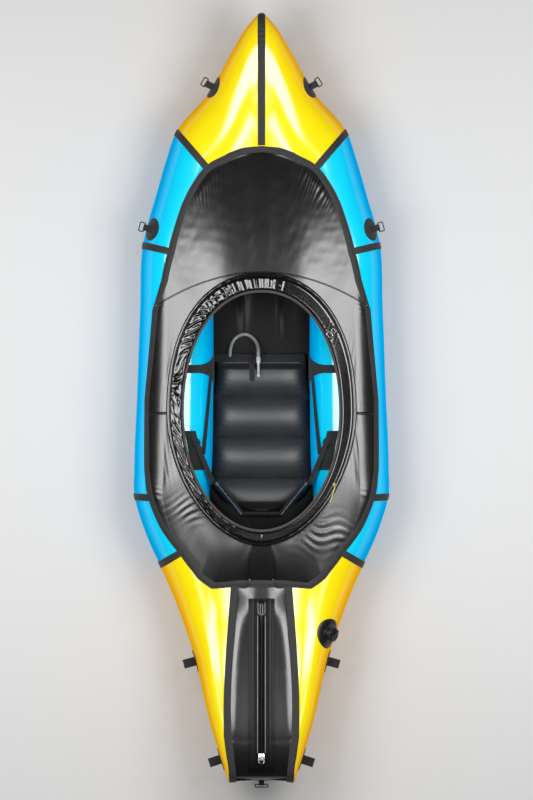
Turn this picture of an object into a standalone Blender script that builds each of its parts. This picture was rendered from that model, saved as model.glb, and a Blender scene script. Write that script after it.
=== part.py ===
"""A decked packraft, built from its separate fabric panels, tapes, coaming, seat and fittings.

Metres. +Y is the bow, +X is the starboard side, +Z is up. The hull is one inflated tube that runs round
the boat and is mitred on the centre plane at the bow and at the stern. Every ring of the tube has a
station number, 0 at the bow to 19 at the stern, and every point of a ring has an angle: 0 on the outer
side, 90 on top, 180 on the cockpit side and -90 underneath. Panels, deck, tapes and patches all read
their places from that one surface.
"""

import math

import bmesh
import bpy
from mathutils import Matrix, Vector

# Hull
HULL_LENGTH = 2.65
HULL_WIDTH = 0.882
TUBE_HEIGHT = 0.27
BOW_RISE = 0.16
STERN_RISE = 0.10
BOW_FLAT = 0.76
STERN_FLAT = 0.60
STERN_RAMP_SHARE = 0.25
FABRIC = 0.0015
FLOOR_THICKNESS = 0.0015
FLOOR_PAST_BOW_FLAT = 0.030
FLOOR_PAST_STERN_FLAT = 0.020
GAP = 0.0003
SEAM_GAP = 0.0006
SEAM_STEP_SHARE = 0.0015
KEEL_STEP_SHARE = 0.010
BOW_STEP_SHARE = 0.016
AROUND = 16
SLANT_STEP = 0.01
MOST_SLANT = 1.8
WELD = 0.00005
WALK_STEPS = 6

# Each row is one station: outer point (across, along), inner point (across, along), tube height.
# Across is a share of half the hull's width, along a share of half its length.
STATION_SHARES = (
    (0.000, 1.000, 0.000, 0.517, 0.98),
    (0.102, 0.971, 0.047, 0.517, 0.98),
    (0.220, 0.909, 0.086, 0.517, 0.99),
    (0.408, 0.799, 0.149, 0.517, 1.00),
    (0.671, 0.695, 0.231, 0.522, 1.00),
    (0.749, 0.621, 0.282, 0.501, 1.00),
    (0.824, 0.535, 0.333, 0.460, 1.00),
    (0.933, 0.399, 0.388, 0.355, 1.00),
    (0.953, 0.230, 0.380, 0.230, 1.00),
    (0.980, -0.005, 0.380, -0.005, 1.00),
    (1.000, -0.188, 0.392, -0.188, 1.00),
    (0.998, -0.258, 0.408, -0.266, 1.00),
    (0.918, -0.347, 0.400, -0.311, 1.00),
    (0.800, -0.436, 0.353, -0.347, 1.01),
    (0.675, -0.533, 0.220, -0.366, 1.02),
    (0.518, -0.684, 0.125, -0.376, 1.01),
    (0.404, -0.846, 0.086, -0.383, 0.99),
    (0.259, -1.000, 0.071, -0.384, 0.95),
    (0.2235, -0.9995, 0.063, -0.384, 0.94),
    (0.000, -0.9935, 0.000, -0.384, 0.93),
)
# How square each station's section is: 2 is an ellipse, more is flatter on top and at the end.
SQUARENESS = (2,) * 14 + (2.2, 2.8, 4.0, 5.0, 5.0, 6.0)
BOW_SEAM, FORE_SEAM, MID_SEAM, QUARTER_SEAM, CORNER, KEEL_EDGE, STERN = 4, 7, 11, 13, 17, 18, 19

# Where the deck's edge and the cargo panel's edge cross each station, from the outer side (0) to the
# cockpit side (1).
DECK_EDGE_SHARES = (
    0.719, 0.702, 0.657, 0.551, 0.500, 0.430, 0.370, 0.310, 0.158, 0.124,
    0.161, 0.216, 0.280, 0.368, 0.380, 0.610, 0.753, 0.818, 0.818, 0.816,
)
CARGO_EDGE_SHARES = (1.0,) * 15 + (0.657, 0.385, 0.090, 0.0, 0.0)

# Deck and tapes
DECK_LIFT = 0.0024
DECK_CROWN = 0.010
TAPE_WIDTH = 0.025
TAPE_THICKNESS = 0.0008
TAPE_LIFT = 0.0017
TAPE_OVER_DECK = 0.0006
DECK_TAPE_EDGE_LIFT = 0.0017
DECK_GAP = 0.0014

# Coaming: its opening, and the lip that a spray skirt grips
COCKPIT_SHIFT = -0.052
OPENING_WIDTH = 0.535
OPENING_FRONT = 0.415
OPENING_REAR = 0.401
LIP_SIDE = 0.061
LIP_FRONT = 0.067
LIP_REAR = 0.0575
OPENING_FRONT_SQUARENESS = 2.15
OPENING_REAR_SQUARENESS = 2.0
LIP_FRONT_SQUARENESS = 2.25
LIP_REAR_SQUARENESS = 1.85
COAMING_SIDE_LIFT = 0.016
COAMING_FRONT_LIFT = 0.045
COAMING_REAR_LIFT = 0.014
RISER_HEIGHT = 0.030
LIP_DROOP = 0.008
COAMING_SHEET = 0.0025
ROD_DIAMETER = 0.014
BINDING_DIAMETER = 0.010
COAMING_STEPS = 48

# Seat and backrest
SEAT_WIDTH = 0.350
SEAT_FRONT = 0.1246
SEAT_REAR = -0.394
SEAT_THICKNESS = 0.076
SEAT_CHANNELS = 4
SEAT_CHANNEL_PITCH = 0.1424
SEAT_FIRST_SEAM = 0.0059
SEAT_FRONT_TAPER_SHARE = 0.90
SEAT_SEAM_DEPTH_SHARE = 0.26
BACKREST_HALF_WIDTH = 0.157
BACKREST_FRONT = -0.292
BACKREST_DEPTH = 0.112
BACKREST_FLAT_HALF = 0.068
BACKREST_THICKNESS = 0.018
BACKREST_BOTTOM = 0.088
BACKREST_HEIGHT = 0.150
BACKREST_PIVOT_HEIGHT = 0.200
WING_LEAN_SHARE = 0.115
WING_TURN_SHARE = 0.31
STRAP_WIDTH = 0.020
STRAP_THICKNESS = 0.0018
STRAP_SAG = 0.010
BUCKLE_WIDTH = 0.028
BUCKLE_LENGTH = 0.018
BUCKLE_WIRE = 0.0035
STRAP_PATCH_STATIONS = (9.44, 10.0)
STRAP_PATCH_FORE_SHARES = (0.640, 0.775)
STRAP_PATCH_AFT_SHARES = (0.750, 0.895)
STRAP_PATCH_LIFT = 0.0014
BUCKLE_STATION = 9.62
BUCKLE_SHARE = 0.780
WEBBING_STATION = 8.66
WEBBING_TOP_WIDTH = 0.028
WEBBING_FOOT_WIDTH = 0.150
WEBBING_TOP_ANGLE = 104
WEBBING_FOOT_ANGLE = 196

# Hose: its own route's points (across, along, up), from the seat's front to the mouth valve
HOSE_DIAMETER = 0.012
HOSE_ROUTE = (
    (-0.1093, 0.1252, 0.0360), (-0.1093, 0.1419, 0.0350), (-0.1090, 0.1592, 0.0310),
    (-0.1073, 0.1747, 0.0240), (-0.1021, 0.1920, 0.0160), (-0.0917, 0.2076, 0.0110),
    (-0.0761, 0.2187, 0.0092), (-0.0599, 0.2225, 0.0092), (-0.0436, 0.2187, 0.0120),
    (-0.0287, 0.2076, 0.0200), (-0.0180, 0.1930, 0.0320), (-0.0131, 0.1790, 0.0470),
    (-0.0114, 0.1680, 0.0610), (-0.0112, 0.1560, 0.0715), (-0.0111, 0.1430, 0.0760),
)
VALVE_STEM = 0.074
STEM_RADIUS = 0.0042
TIP_STEP = 0.0015
TIP_LENGTH = 0.009
TIP_CHAMFER = 0.002
COLLAR_STEP = 0.002
COLLAR_START = 0.004
COLLAR_END = 0.021
COLLAR_TAPER = 0.005

# Tie-down patches, their webbing tabs and rings
TIE_PATCH_DIAMETER = 0.080
TIE_PATCH_LIFT = 0.0011
TIE_PATCH_THICKNESS = 0.0014
TAB_WIDTH = 0.022
TAB_LENGTH = 0.034
TAB_WEB = 0.002
RING_WIRE = 0.004
RING_PLAY = 0.0005
RING_INNER_WIDTH = 0.027
RING_INNER_DEPTH = 0.014
RING_HANG = 40
LOOP_WIDTH = 0.031
LOOP_LENGTH = 0.044
LOOP_ROOM = 0.0045
# Each place is a name, a station and an angle.
RING_PLACES = (("bow", 2.85, 14), ("fore", 6.66, 33))
LOOP_PLACES = (("stern_mid", 15.02, 4), ("stern_rear", 16.62, 8))

# Main valve, on the starboard stern panel
VALVE_STATION = 14.70
VALVE_ANGLE = 40
VALVE_PATCH_DIAMETER = 0.104
VALVE_FLANGE_DIAMETER = 0.068
VALVE_FLANGE_THICKNESS = 0.003
VALVE_NECK_DIAMETER = 0.046
VALVE_NECK_HEIGHT = 0.010
VALVE_BORE = 0.030
VALVE_CAP_DIAMETER = 0.050
VALVE_CAP_HEIGHT = 0.008
VALVE_GRIP_WIDTH = 0.010
VALVE_GRIP_HEIGHT = 0.008

# Cargo zip on the stern panel's centre line, from its fore end to its aft end
ZIP_FORE_SHARE = 0.522
ZIP_AFT_SHARE = 0.971
ZIP_FORE = -ZIP_FORE_SHARE * HULL_LENGTH / 2
ZIP_AFT = -ZIP_AFT_SHARE * HULL_LENGTH / 2
ZIP_TAPE_WIDTH = 0.090
ZIP_TAPE_THICKNESS = 0.0012
CHAIN_FORE_SHARE = 0.574
CHAIN_AFT_SHARE = 0.952
CHAIN_FORE = -CHAIN_FORE_SHARE * HULL_LENGTH / 2
CHAIN_AFT = -CHAIN_AFT_SHARE * HULL_LENGTH / 2
CHAIN_WIDTH = 0.016
CHAIN_LEAST_HEIGHT = 0.003
SLIDER_LENGTH = 0.026
SLIDER_WIDTH = 0.022
SLIDER_HEIGHT = 0.007
SLIDER_TRAVEL = 0.455
PULL_LENGTH = 0.022
PULL_WIDTH = 0.018
PULL_WIRE = 0.003

# Stern grab tab and its flat ring
STERN_TAB_ANGLE = 10
STERN_TAB_WIDTH = 0.018
STERN_TAB_LENGTH = 0.022
STERN_PATCH_DIAMETER = 0.046
STERN_RING_INNER_WIDTH = 0.040
STERN_RING_INNER_DEPTH = 0.009

COLOURS = {
    "yellow_fabric": ((1.0, 0.80, 0.0), 0.38, 0.0),
    "cyan_fabric": ((0.0, 0.62, 0.95), 0.38, 0.0),
    "black_fabric": ((0.012, 0.012, 0.014), 0.30, 0.0),
    "seam_tape": ((0.035, 0.035, 0.037), 0.55, 0.0),
    "floor_fabric": ((0.010, 0.010, 0.011), 0.55, 0.0),
    "coaming_fabric": ((0.008, 0.008, 0.009), 0.18, 0.0),
    "binding_tape": ((0.085, 0.072, 0.068), 0.60, 0.0),
    "seat_fabric": ((0.016, 0.017, 0.020), 0.42, 0.0),
    "webbing": ((0.014, 0.014, 0.015), 0.75, 0.0),
    "hard_plastic": ((0.010, 0.010, 0.011), 0.35, 0.0),
    "hose_plastic": ((0.42, 0.44, 0.46), 0.25, 0.0),
    "steel": ((0.62, 0.63, 0.65), 0.25, 1.0),
    "ring_plastic": ((0.11, 0.115, 0.12), 0.30, 0.0),
}


def clear_scene():
    for thing in list(bpy.data.objects):
        bpy.data.objects.remove(thing, do_unlink=True)


def make_material(name):
    colour, roughness, metallic = COLOURS[name]
    material = bpy.data.materials.new(name)
    material.use_nodes = True
    shader = material.node_tree.nodes["Principled BSDF"]
    shader.inputs["Base Color"].default_value = (*colour, 1.0)
    shader.inputs["Roughness"].default_value = roughness
    shader.inputs["Metallic"].default_value = metallic
    return material


def place(name, data, material, parent=None):
    """One named object in the raft's collection, under the root or under its joint's empty."""
    thing = bpy.data.objects.new(name, data)
    RAFT.objects.link(thing)
    data.materials.append(MATERIALS[material])
    thing.parent = parent or ROOT
    return thing


def joint_empty(name, matrix):
    """An empty on a joint: its origin is on the axis."""
    empty = bpy.data.objects.new(name, None)
    RAFT.objects.link(empty)
    empty.parent = ROOT
    empty.matrix_local = matrix
    return empty


def mesh_object(name, bm, material, parent=None, smooth=40):
    bmesh.ops.recalc_face_normals(bm, faces=bm.faces)
    mesh = bpy.data.meshes.new(name)
    bm.to_mesh(mesh)
    bm.free()
    mesh.shade_smooth()
    mesh.set_sharp_from_angle(angle=math.radians(smooth))
    return place(name, mesh, material, parent)


def loft(name, columns, rows, point, material, closed=False, parent=None):
    """A closed skin: point(column, row, 0) is its outer face, point(column, row, 1) its inner face."""
    bm = bmesh.new()
    outer, inner = ([[bm.verts.new(point(c, r, w)) for r in rows] for c in columns] for w in (0, 1))
    count = len(columns)
    last = len(rows) - 1

    def quad(a, b, c, d):
        bm.faces.new((a, b, c))
        bm.faces.new((a, c, d))

    for i in range(count if closed else count - 1):
        j = (i + 1) % count
        for k in range(last):
            quad(outer[i][k], outer[j][k], outer[j][k + 1], outer[i][k + 1])
            quad(inner[i][k], inner[j][k], inner[j][k + 1], inner[i][k + 1])
        quad(outer[i][0], outer[j][0], inner[j][0], inner[i][0])
        quad(outer[i][last], outer[j][last], inner[j][last], inner[i][last])
    if not closed:
        for i in (0, count - 1):
            for k in range(last):
                quad(outer[i][k], outer[i][k + 1], inner[i][k + 1], inner[i][k])
    return mesh_object(name, bm, material, parent)


def tube(name, points, radius, material, cyclic=False, parent=None, resolution=2):
    """A round tube along points, as a curve with a bevel."""
    curve = bpy.data.curves.new(name, "CURVE")
    curve.dimensions = "3D"
    curve.bevel_depth = radius
    curve.bevel_resolution = resolution
    curve.use_fill_caps = not cyclic
    spline = curve.splines.new("POLY")
    spline.points.add(len(points) - 1)
    for target, p in zip(spline.points, points):
        target.co = (*p, 1.0)
    spline.use_cyclic_u = cyclic
    spline.use_smooth = True
    return place(name, curve, material, parent)


def box(name, size, matrix, material, bevel=0.0, parent=None):
    """A block of the given size, centred on matrix, with rounded edges."""
    bm = bmesh.new()
    bmesh.ops.create_cube(bm, size=1.0)
    bmesh.ops.scale(bm, vec=size, verts=bm.verts)
    if bevel:
        bmesh.ops.bevel(bm, geom=bm.edges, offset=bevel, segments=2, affect="EDGES", profile=0.5)
    bmesh.ops.transform(bm, matrix=matrix, verts=bm.verts)
    return mesh_object(name, bm, material, parent)


def turned(name, profile, matrix, material, steps=24, parent=None):
    """A turned piece: profile is (radius, height) down its outer side, spun about matrix's Z axis."""
    bm = bmesh.new()
    verts = [bm.verts.new((r, 0.0, h)) for r, h in profile]
    for a, b in zip(verts, verts[1:]):
        bm.edges.new((a, b))
    mesh = bpy.data.meshes.new(name)
    bm.to_mesh(mesh)
    bm.free()
    thing = place(name, mesh, material, parent)
    thing.matrix_local = matrix
    screw = thing.modifiers.new("Turn", "SCREW")
    screw.steps = steps
    screw.render_steps = steps
    screw.use_merge_vertices = True
    screw.merge_threshold = WELD
    screw.use_smooth_shade = True
    return thing


def union(thing, other):
    """Fuse two closed pieces: the boolean stays on the first, the second becomes its cutter."""
    boolean = thing.modifiers.new("Join " + other.name, "BOOLEAN")
    boolean.operation = "UNION"
    boolean.solver = "EXACT"
    boolean.object = other
    other.hide_render = True
    other.display_type = "WIRE"
    RAFT.objects.unlink(other)
    CUTTERS.objects.link(other)


def lerp(a, b, f):
    return a + (b - a) * f


def steps(low, high, count):
    return [lerp(low, high, i / count) for i in range(count + 1)]


def ramp(f, knee):
    """Rises as a parabola up to knee and as a straight line after it, from 0 to 1."""
    if f <= 0:
        return 0.0
    whole = 1 - knee / 2
    return f * f / (2 * knee) / whole if f < knee else (f - knee / 2) / whole


def rocker(y):
    """How far the underside has risen at y, which counts from the hull's middle."""
    half = HULL_LENGTH / 2
    if y > 0:
        return BOW_RISE * ramp((y - BOW_FLAT) / (half - BOW_FLAT), 1.0)
    return STERN_RISE * ramp((-y - STERN_FLAT) / (half - STERN_FLAT), STERN_RAMP_SHARE)


def station_place(k):
    """Row k of the station table in metres; row -1 is row 1 mirrored, so the bow is round."""
    ox, oy, ix, iy, height = STATION_SHARES[abs(k)]
    side = -1 if k < 0 else 1
    half_width, half_length = HULL_WIDTH / 2, HULL_LENGTH / 2
    return Vector((side * ox * half_width, oy * half_length,
                   side * ix * half_width, iy * half_length, height * TUBE_HEIGHT))


def station_step(k):
    """The path length from station k to the next, midway between the outer and inner lines."""
    d = station_place(k + 1) - station_place(k)
    return (math.hypot(d[0], d[1]) + math.hypot(d[2], d[3])) / 2


def station_slope(k):
    """The rate of change along the path at station k, from its neighbours."""
    after = (station_place(k + 1) - station_place(k)) / station_step(k)
    before = (station_place(k) - station_place(k - 1)) / station_step(k - 1)
    if k == CORNER:
        return before
    a, b = station_step(k - 1), station_step(k)
    return (after * a + before * b) / (a + b)


def station(s):
    """The ring at station s: a cubic curve through the rows, with straight lines past the corner."""
    k = min(int(s), STERN - 1)
    f = s - k
    first, last = station_place(k), station_place(k + 1)
    if k >= CORNER:
        row = first.lerp(last, f)
    else:
        h = station_step(k)
        a, b = station_slope(k) * h, station_slope(k + 1) * h
        row = (first * (2 * f**3 - 3 * f**2 + 1) + a * (f**3 - 2 * f**2 + f)
               + last * (3 * f**2 - 2 * f**3) + b * (f**3 - f**2))
    return row, lerp(SQUARENESS[k], SQUARENESS[k + 1], f)


def share_at(table, s):
    k = min(int(s), STERN - 1)
    return lerp(table[k], table[k + 1], s - k)


def ring_point(s, angle, lift=0.0):
    """A starboard point in the plane of ring s, at an angle in degrees, with the ring grown by lift."""
    row, power = station(s)
    outer, inner = Vector((row[0], row[1])), Vector((row[2], row[3]))
    reach = (outer - inner).length / 2
    middle = (outer + inner) / 2
    along = (outer - inner) / (2 * reach)
    c, d = math.cos(math.radians(angle)), math.sin(math.radians(angle))
    r = (abs(c) ** power + abs(d) ** power) ** (-1 / power)
    plan = middle + along * (reach + lift) * r * c
    half = row[4] / 2
    up = rocker(plan.y) + FLOOR_THICKNESS + GAP + half + (half + lift) * r * d
    return Vector((plan.x, plan.y, up))


def slant(s, angle):
    """How much more than its thickness a layer takes up in the plane of ring s, which is at a slant."""
    here = ring_point(s, angle)
    beside = s + SLANT_STEP if s < CORNER or s < STERN - SLANT_STEP else s - SLANT_STEP
    normal = (ring_point(beside, angle) - here).cross(ring_point(s, angle + 1) - here).normalized()
    grown = abs(normal.dot(ring_point(s, angle, SLANT_STEP) - here))
    return min(MOST_SLANT, SLANT_STEP / max(grown, SLANT_STEP / MOST_SLANT))


def hull_point(s, angle, lift=0.0, side=1):
    """A point on the tube's skin at station s and an angle in degrees, raised by lift."""
    p = ring_point(s, angle, lift * slant(s, angle) if lift else 0.0)
    return Vector((side * p.x, p.y, p.z))


def top_angle(s, share):
    """The angle on the upper side at which a share of the way from outer to inner side is passed."""
    power = station(s)[1]
    c = 1 - 2 * share
    d = max(0.0, 1 - abs(c) ** power) ** (1 / power)
    return math.degrees(math.atan2(d, c))


def hull_frame(s, angle, lift=0.0, side=1):
    """A matrix on the skin: X along the boat, Y round the tube upwards, Z outwards."""
    small = SLANT_STEP
    here = hull_point(s, angle, lift, side)
    along = hull_point(max(s - small, 0), angle, lift, side) - hull_point(s + small, angle, lift, side)
    if s >= STERN:
        along = hull_point(s - small, angle, lift, -side) - hull_point(s - small, angle, lift, side)
    around = hull_point(s, angle + 1, lift, side) - hull_point(s, angle - 1, lift, side)
    y = around.normalized()
    z = along.cross(y).normalized()
    if z.dot(here - hull_point(s, angle, lift - TUBE_HEIGHT / 4, side)) < 0:
        z = -z
    x = y.cross(z)
    return Matrix.Translation(here) @ Matrix((x, y, z)).transposed().to_4x4()


def skin_slopes(s, angle):
    """How a starboard skin point moves per station and per degree."""
    small = SLANT_STEP
    if s > STERN - small:
        along = (ring_point(s, angle) - ring_point(s - small, angle)) / small
    else:
        along = (ring_point(s + small, angle) - ring_point(s, angle)) / small
    return along, (ring_point(s, angle + 1) - ring_point(s, angle - 1)) / 2


def skin_offset(s, angle, shift, lift, side=1):
    """The skin point a starboard-side vector away from station s and angle, walked over the skin."""
    heading = shift.normalized()
    shrink = station_step(CORNER) / station_step(CORNER - 1)
    for _ in range(WALK_STEPS if shift.length else 0):
        a, b = skin_slopes(s, angle)
        normal = a.cross(b).normalized()
        flat = (heading - normal * heading.dot(normal)).normalized() * shift.length / WALK_STEPS
        aa, ab, bb, av, bv = a.dot(a), a.dot(b), b.dot(b), a.dot(flat), b.dot(flat)
        area = aa * bb - ab * ab
        target = s + (av * bb - bv * ab) / area
        angle += (bv * aa - av * ab) / area
        if s >= CORNER > target:
            target = CORNER + (target - CORNER) * shrink
        elif target > CORNER > s:
            target = CORNER + (target - CORNER) / shrink
        s = target
        if s > STERN or s < 0:
            s = (2 * STERN if s > STERN else 0) - s
            side, heading.x = -side, -heading.x
    return hull_point(s, angle, lift, side)


def speed_around(s, angle):
    return skin_slopes(s, angle)[1].length


def deck_angle(s):
    return top_angle(s, share_at(DECK_EDGE_SHARES, s))


def seam_angle():
    """Half the gap between two edges that meet round the tube, as an angle."""
    return math.degrees(SEAM_GAP / TUBE_HEIGHT)


def hull_panel(name, side, stations, material, top=None):
    """A fabric panel of the tube, closed round it, or open above the angle that top(s) gives."""
    edge = seam_angle()
    rows = steps(0, 1, AROUND)

    def point(s, v, w):
        high = 180 if top is None else top(s)
        return hull_point(s, lerp(edge - 180, high - edge, v), -w * FABRIC, side)

    return loft(name, stations, rows, point, material)


# The stations that the stern panels and the cargo panel share, with one under each patch.
CARGO_PATH = [14.25, 14.45, VALVE_STATION, LOOP_PLACES[0][1], 15.25, 15.5, 16, LOOP_PLACES[1][1], CORNER]


def add_hull():
    """Ten coloured panels, the black cargo panel on top of the stern and the keel panel below it."""
    step = SEAM_STEP_SHARE
    bow = [BOW_STEP_SHARE, 0.3, 0.6, 1, 2, 2.5, RING_PLACES[0][1], 3.05, 3.4, BOW_SEAM - step]
    fore = [BOW_SEAM + step, 4.5, 5, 6, RING_PLACES[1][1], FORE_SEAM - step]
    mid = [FORE_SEAM + step, 7.5, 8, WEBBING_STATION, BUCKLE_STATION, 10, MID_SEAM - step]
    quarter = [MID_SEAM + step, 11.5, 12, QUARTER_SEAM - step]
    stern = [QUARTER_SEAM + step, 13.5, 14] + CARGO_PATH + [KEEL_EDGE]
    for word, side in (("port", -1), ("starboard", 1)):
        hull_panel("bow_panel_" + word, side, bow, "yellow_fabric")
        hull_panel("fore_panel_" + word, side, fore, "cyan_fabric")
        hull_panel("mid_panel_" + word, side, mid, "cyan_fabric")
        hull_panel("quarter_panel_" + word, side, quarter, "cyan_fabric")
        hull_panel("stern_panel_" + word, side, stern, "yellow_fabric", cargo_angle)
    edge = seam_angle()
    path = CARGO_PATH + [KEEL_EDGE]
    columns = [(-1, s) for s in path] + [(1, STERN)] + [(1, s) for s in reversed(path)]

    def cargo(column, v, w):
        side, s = column
        return hull_point(s, lerp(cargo_angle(s) + edge, 180 - edge, v), -w * FABRIC, side)

    loft("cargo_panel", columns, steps(0, 1, 8), cargo, "black_fabric")
    ends = [KEEL_EDGE + KEEL_STEP_SHARE, 18.5]
    columns = [(-1, s) for s in ends] + [(1, STERN)] + [(1, s) for s in reversed(ends)]

    def keel(column, v, w):
        side, s = column
        return hull_point(s, lerp(edge - 180, -edge, v), -w * FABRIC, side)

    loft("keel_panel", columns, steps(0, 1, 8), keel, "black_fabric")


def cargo_angle(s):
    return 180 if s <= 14 else top_angle(s, share_at(CARGO_EDGE_SHARES, s))


def add_floor():
    """One flat sheet that joins the tubes underneath, cut on the line below their crowns."""
    path = [3.9, 4.25, 4.6, 5, 6, 7, 8, 9, 10, 11, 12, 13, 13.6]

    def edge_point(s):
        p = hull_point(s, -90)
        return p.x, min(max(p.y, -STERN_FLAT - FLOOR_PAST_STERN_FLAT), BOW_FLAT + FLOOR_PAST_BOW_FLAT)

    def point(s, v, w):
        x, y = edge_point(s)
        return Vector((v * x, y, (1 - w) * FLOOR_THICKNESS))

    loft("floor_sheet", path, (-1, -0.5, 0, 0.5, 1), point, "floor_fabric")


def coaming_oval(turn, share):
    """A point of the coaming in plan: turn runs from 0 at the bow to 360, share from the opening's
    edge (0) to the lip's edge (1)."""
    sine, cosine = math.sin(math.radians(turn)), math.cos(math.radians(turn))
    ahead = cosine > 0

    def oval(width, length, power):
        return Vector((math.copysign(width * abs(sine) ** (2 / power), sine),
                       math.copysign(length * abs(cosine) ** (2 / power), cosine)))

    half = OPENING_WIDTH / 2
    inside = oval(half, OPENING_FRONT if ahead else OPENING_REAR,
                  OPENING_FRONT_SQUARENESS if ahead else OPENING_REAR_SQUARENESS)
    outside = oval(half + LIP_SIDE, OPENING_FRONT + LIP_FRONT if ahead else OPENING_REAR + LIP_REAR,
                   LIP_FRONT_SQUARENESS if ahead else LIP_REAR_SQUARENESS)
    return inside.lerp(outside, share) + Vector((0.0, COCKPIT_SHIFT))


def coaming_height(turn):
    """The deck's height at the coaming's foot: raised in front for the knees."""
    cosine = math.cos(math.radians(turn))
    end = COAMING_FRONT_LIFT if cosine > 0 else COAMING_REAR_LIFT
    return FLOOR_THICKNESS + GAP + TUBE_HEIGHT + lerp(COAMING_SIDE_LIFT, end, cosine * cosine)


def coaming_point(turn, share, offset, up):
    """A point offset square to the oval that share picks, outwards, and up from the deck's height."""
    plan = coaming_oval(turn, share)
    run = coaming_oval(turn + 1.5, share) - coaming_oval(turn - 1.5, share)
    outward = Vector((run.y, -run.x)).normalized()
    if outward.dot(plan - Vector((0.0, COCKPIT_SHIFT))) < 0:
        outward = -outward
    plan += outward * offset
    return Vector((plan.x, plan.y, coaming_height(turn) + up))


def deck_turn(s, side):
    """The coaming's turn that faces the deck's edge at station s."""
    p = hull_point(s, deck_angle(s))
    across = p.x / (OPENING_WIDTH / 2 + LIP_SIDE)
    along = p.y - COCKPIT_SHIFT
    along /= OPENING_FRONT + LIP_FRONT if along > 0 else OPENING_REAR + LIP_REAR
    return side * math.degrees(math.atan2(across, along))


def deck_point(column, row, w):
    """Rows 0 to 1 lie on the tube, from the deck's edge to where it leaves the tube's crown. Rows 1 to
    2 span from there to the coaming's foot."""
    side, s = column
    low = deck_angle(s)
    leave = max(90.0, low + 2)
    skin = hull_point(s, lerp(low, leave, min(row, 1)), DECK_LIFT + (1 - w) * FABRIC, side)
    if row <= 1:
        return skin
    f = row - 1
    out = BINDING_DIAMETER + GAP + COAMING_SHEET + DECK_GAP
    foot = coaming_point(deck_turn(s, side), 0, out, (1 - w) * FABRIC)
    crown = DECK_CROWN * 4 * f * (1 - f) * min(1.0, (foot - skin).length / LIP_SIDE / 4)
    return skin.lerp(foot, f) + Vector((0, 0, crown))


DECK_ROWS = (0, 0.35, 0.68, 1, 1.3, 1.65, 2)
DECK_SEAM_FORE, DECK_SEAM_SIDE = 7.9, 9.22
DECK_PATH = (0, 0.3, 0.6, 1, 2, 2.5, 3, 3.5, 4, 4.5, 5, 6, 6.5, 7, 7.5, DECK_SEAM_FORE, 8.3, 8.6, 8.9,
             DECK_SEAM_SIDE, 9.5, 10, 10.5, 11, 11.5, 12, 12.5, 13, 13.5, 14, 14.5, 15, 15.5, 16, 16.5,
             CORNER, KEEL_EDGE, STERN)


def path_between(low, high):
    """The deck's columns from one seam to the next, with half the seam's gap at each end."""
    inside = [s for s in DECK_PATH if low < s < high]
    step = SEAM_STEP_SHARE / 2
    start = low if low == 0 else low + step
    end = high if high == STERN else high - step
    return [start] + inside + [end]


def add_deck():
    """Four deck panels: fore, port, starboard and aft of the seams beside the coaming."""
    fore = path_between(0, DECK_SEAM_FORE)
    side_path = path_between(DECK_SEAM_FORE, DECK_SEAM_SIDE)
    aft = path_between(DECK_SEAM_SIDE, STERN)
    columns = [(-1, s) for s in reversed(fore[1:])] + [(1, s) for s in fore]
    loft("deck_fore", columns, DECK_ROWS, deck_point, "black_fabric")
    loft("deck_port", [(-1, s) for s in side_path], DECK_ROWS, deck_point, "black_fabric")
    loft("deck_starboard", [(1, s) for s in side_path], DECK_ROWS, deck_point, "black_fabric")
    columns = [(1, s) for s in aft] + [(-1, s) for s in reversed(aft[:-1])]
    loft("deck_aft", columns, DECK_ROWS, deck_point, "black_fabric")


def surface_tape(name, places, material, side=1, width=TAPE_WIDTH, thickness=TAPE_THICKNESS):
    """A tape laid along (station, angle) places of one side, square to its own line."""
    middles = [ring_point(s, angle) for s, angle in places]

    def point(i, v, w):
        s, angle = places[i]
        a, b = skin_slopes(s, angle)
        forward = middles[min(i + 1, len(places) - 1)] - middles[max(i - 1, 0)]
        across = a.cross(b).cross(forward).normalized()
        return skin_offset(s, angle, across * (v * width / 2), TAPE_LIFT + (1 - w) * thickness, side)

    return loft(name, range(len(places)), (-1, -0.5, 0, 0.5, 1), point, material)


def deck_skin(column, distance, lift):
    """The point a distance in from the deck's edge, over the deck's own top by lift."""
    side, s = column
    row, here, run = 0.0, deck_point(column, 0, 0), 0.0
    while run < distance:
        ahead = deck_point(column, row + 0.02, 0)
        run += (ahead - here).length
        row, here = row + 0.02, ahead
    back = deck_point(column, max(row - 0.02, 0), 0)
    ahead = deck_point(column, row + 0.02, 0)
    step = 0.05 if s < STERN - 0.05 else -0.05
    beside = deck_point((side, s + step), row, 0)
    normal = (ahead - back).cross(beside - here).normalized()
    if normal.z < 0:
        normal = -normal
    if s in (0, STERN):
        normal.x = 0
    return here + normal * lift


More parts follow.
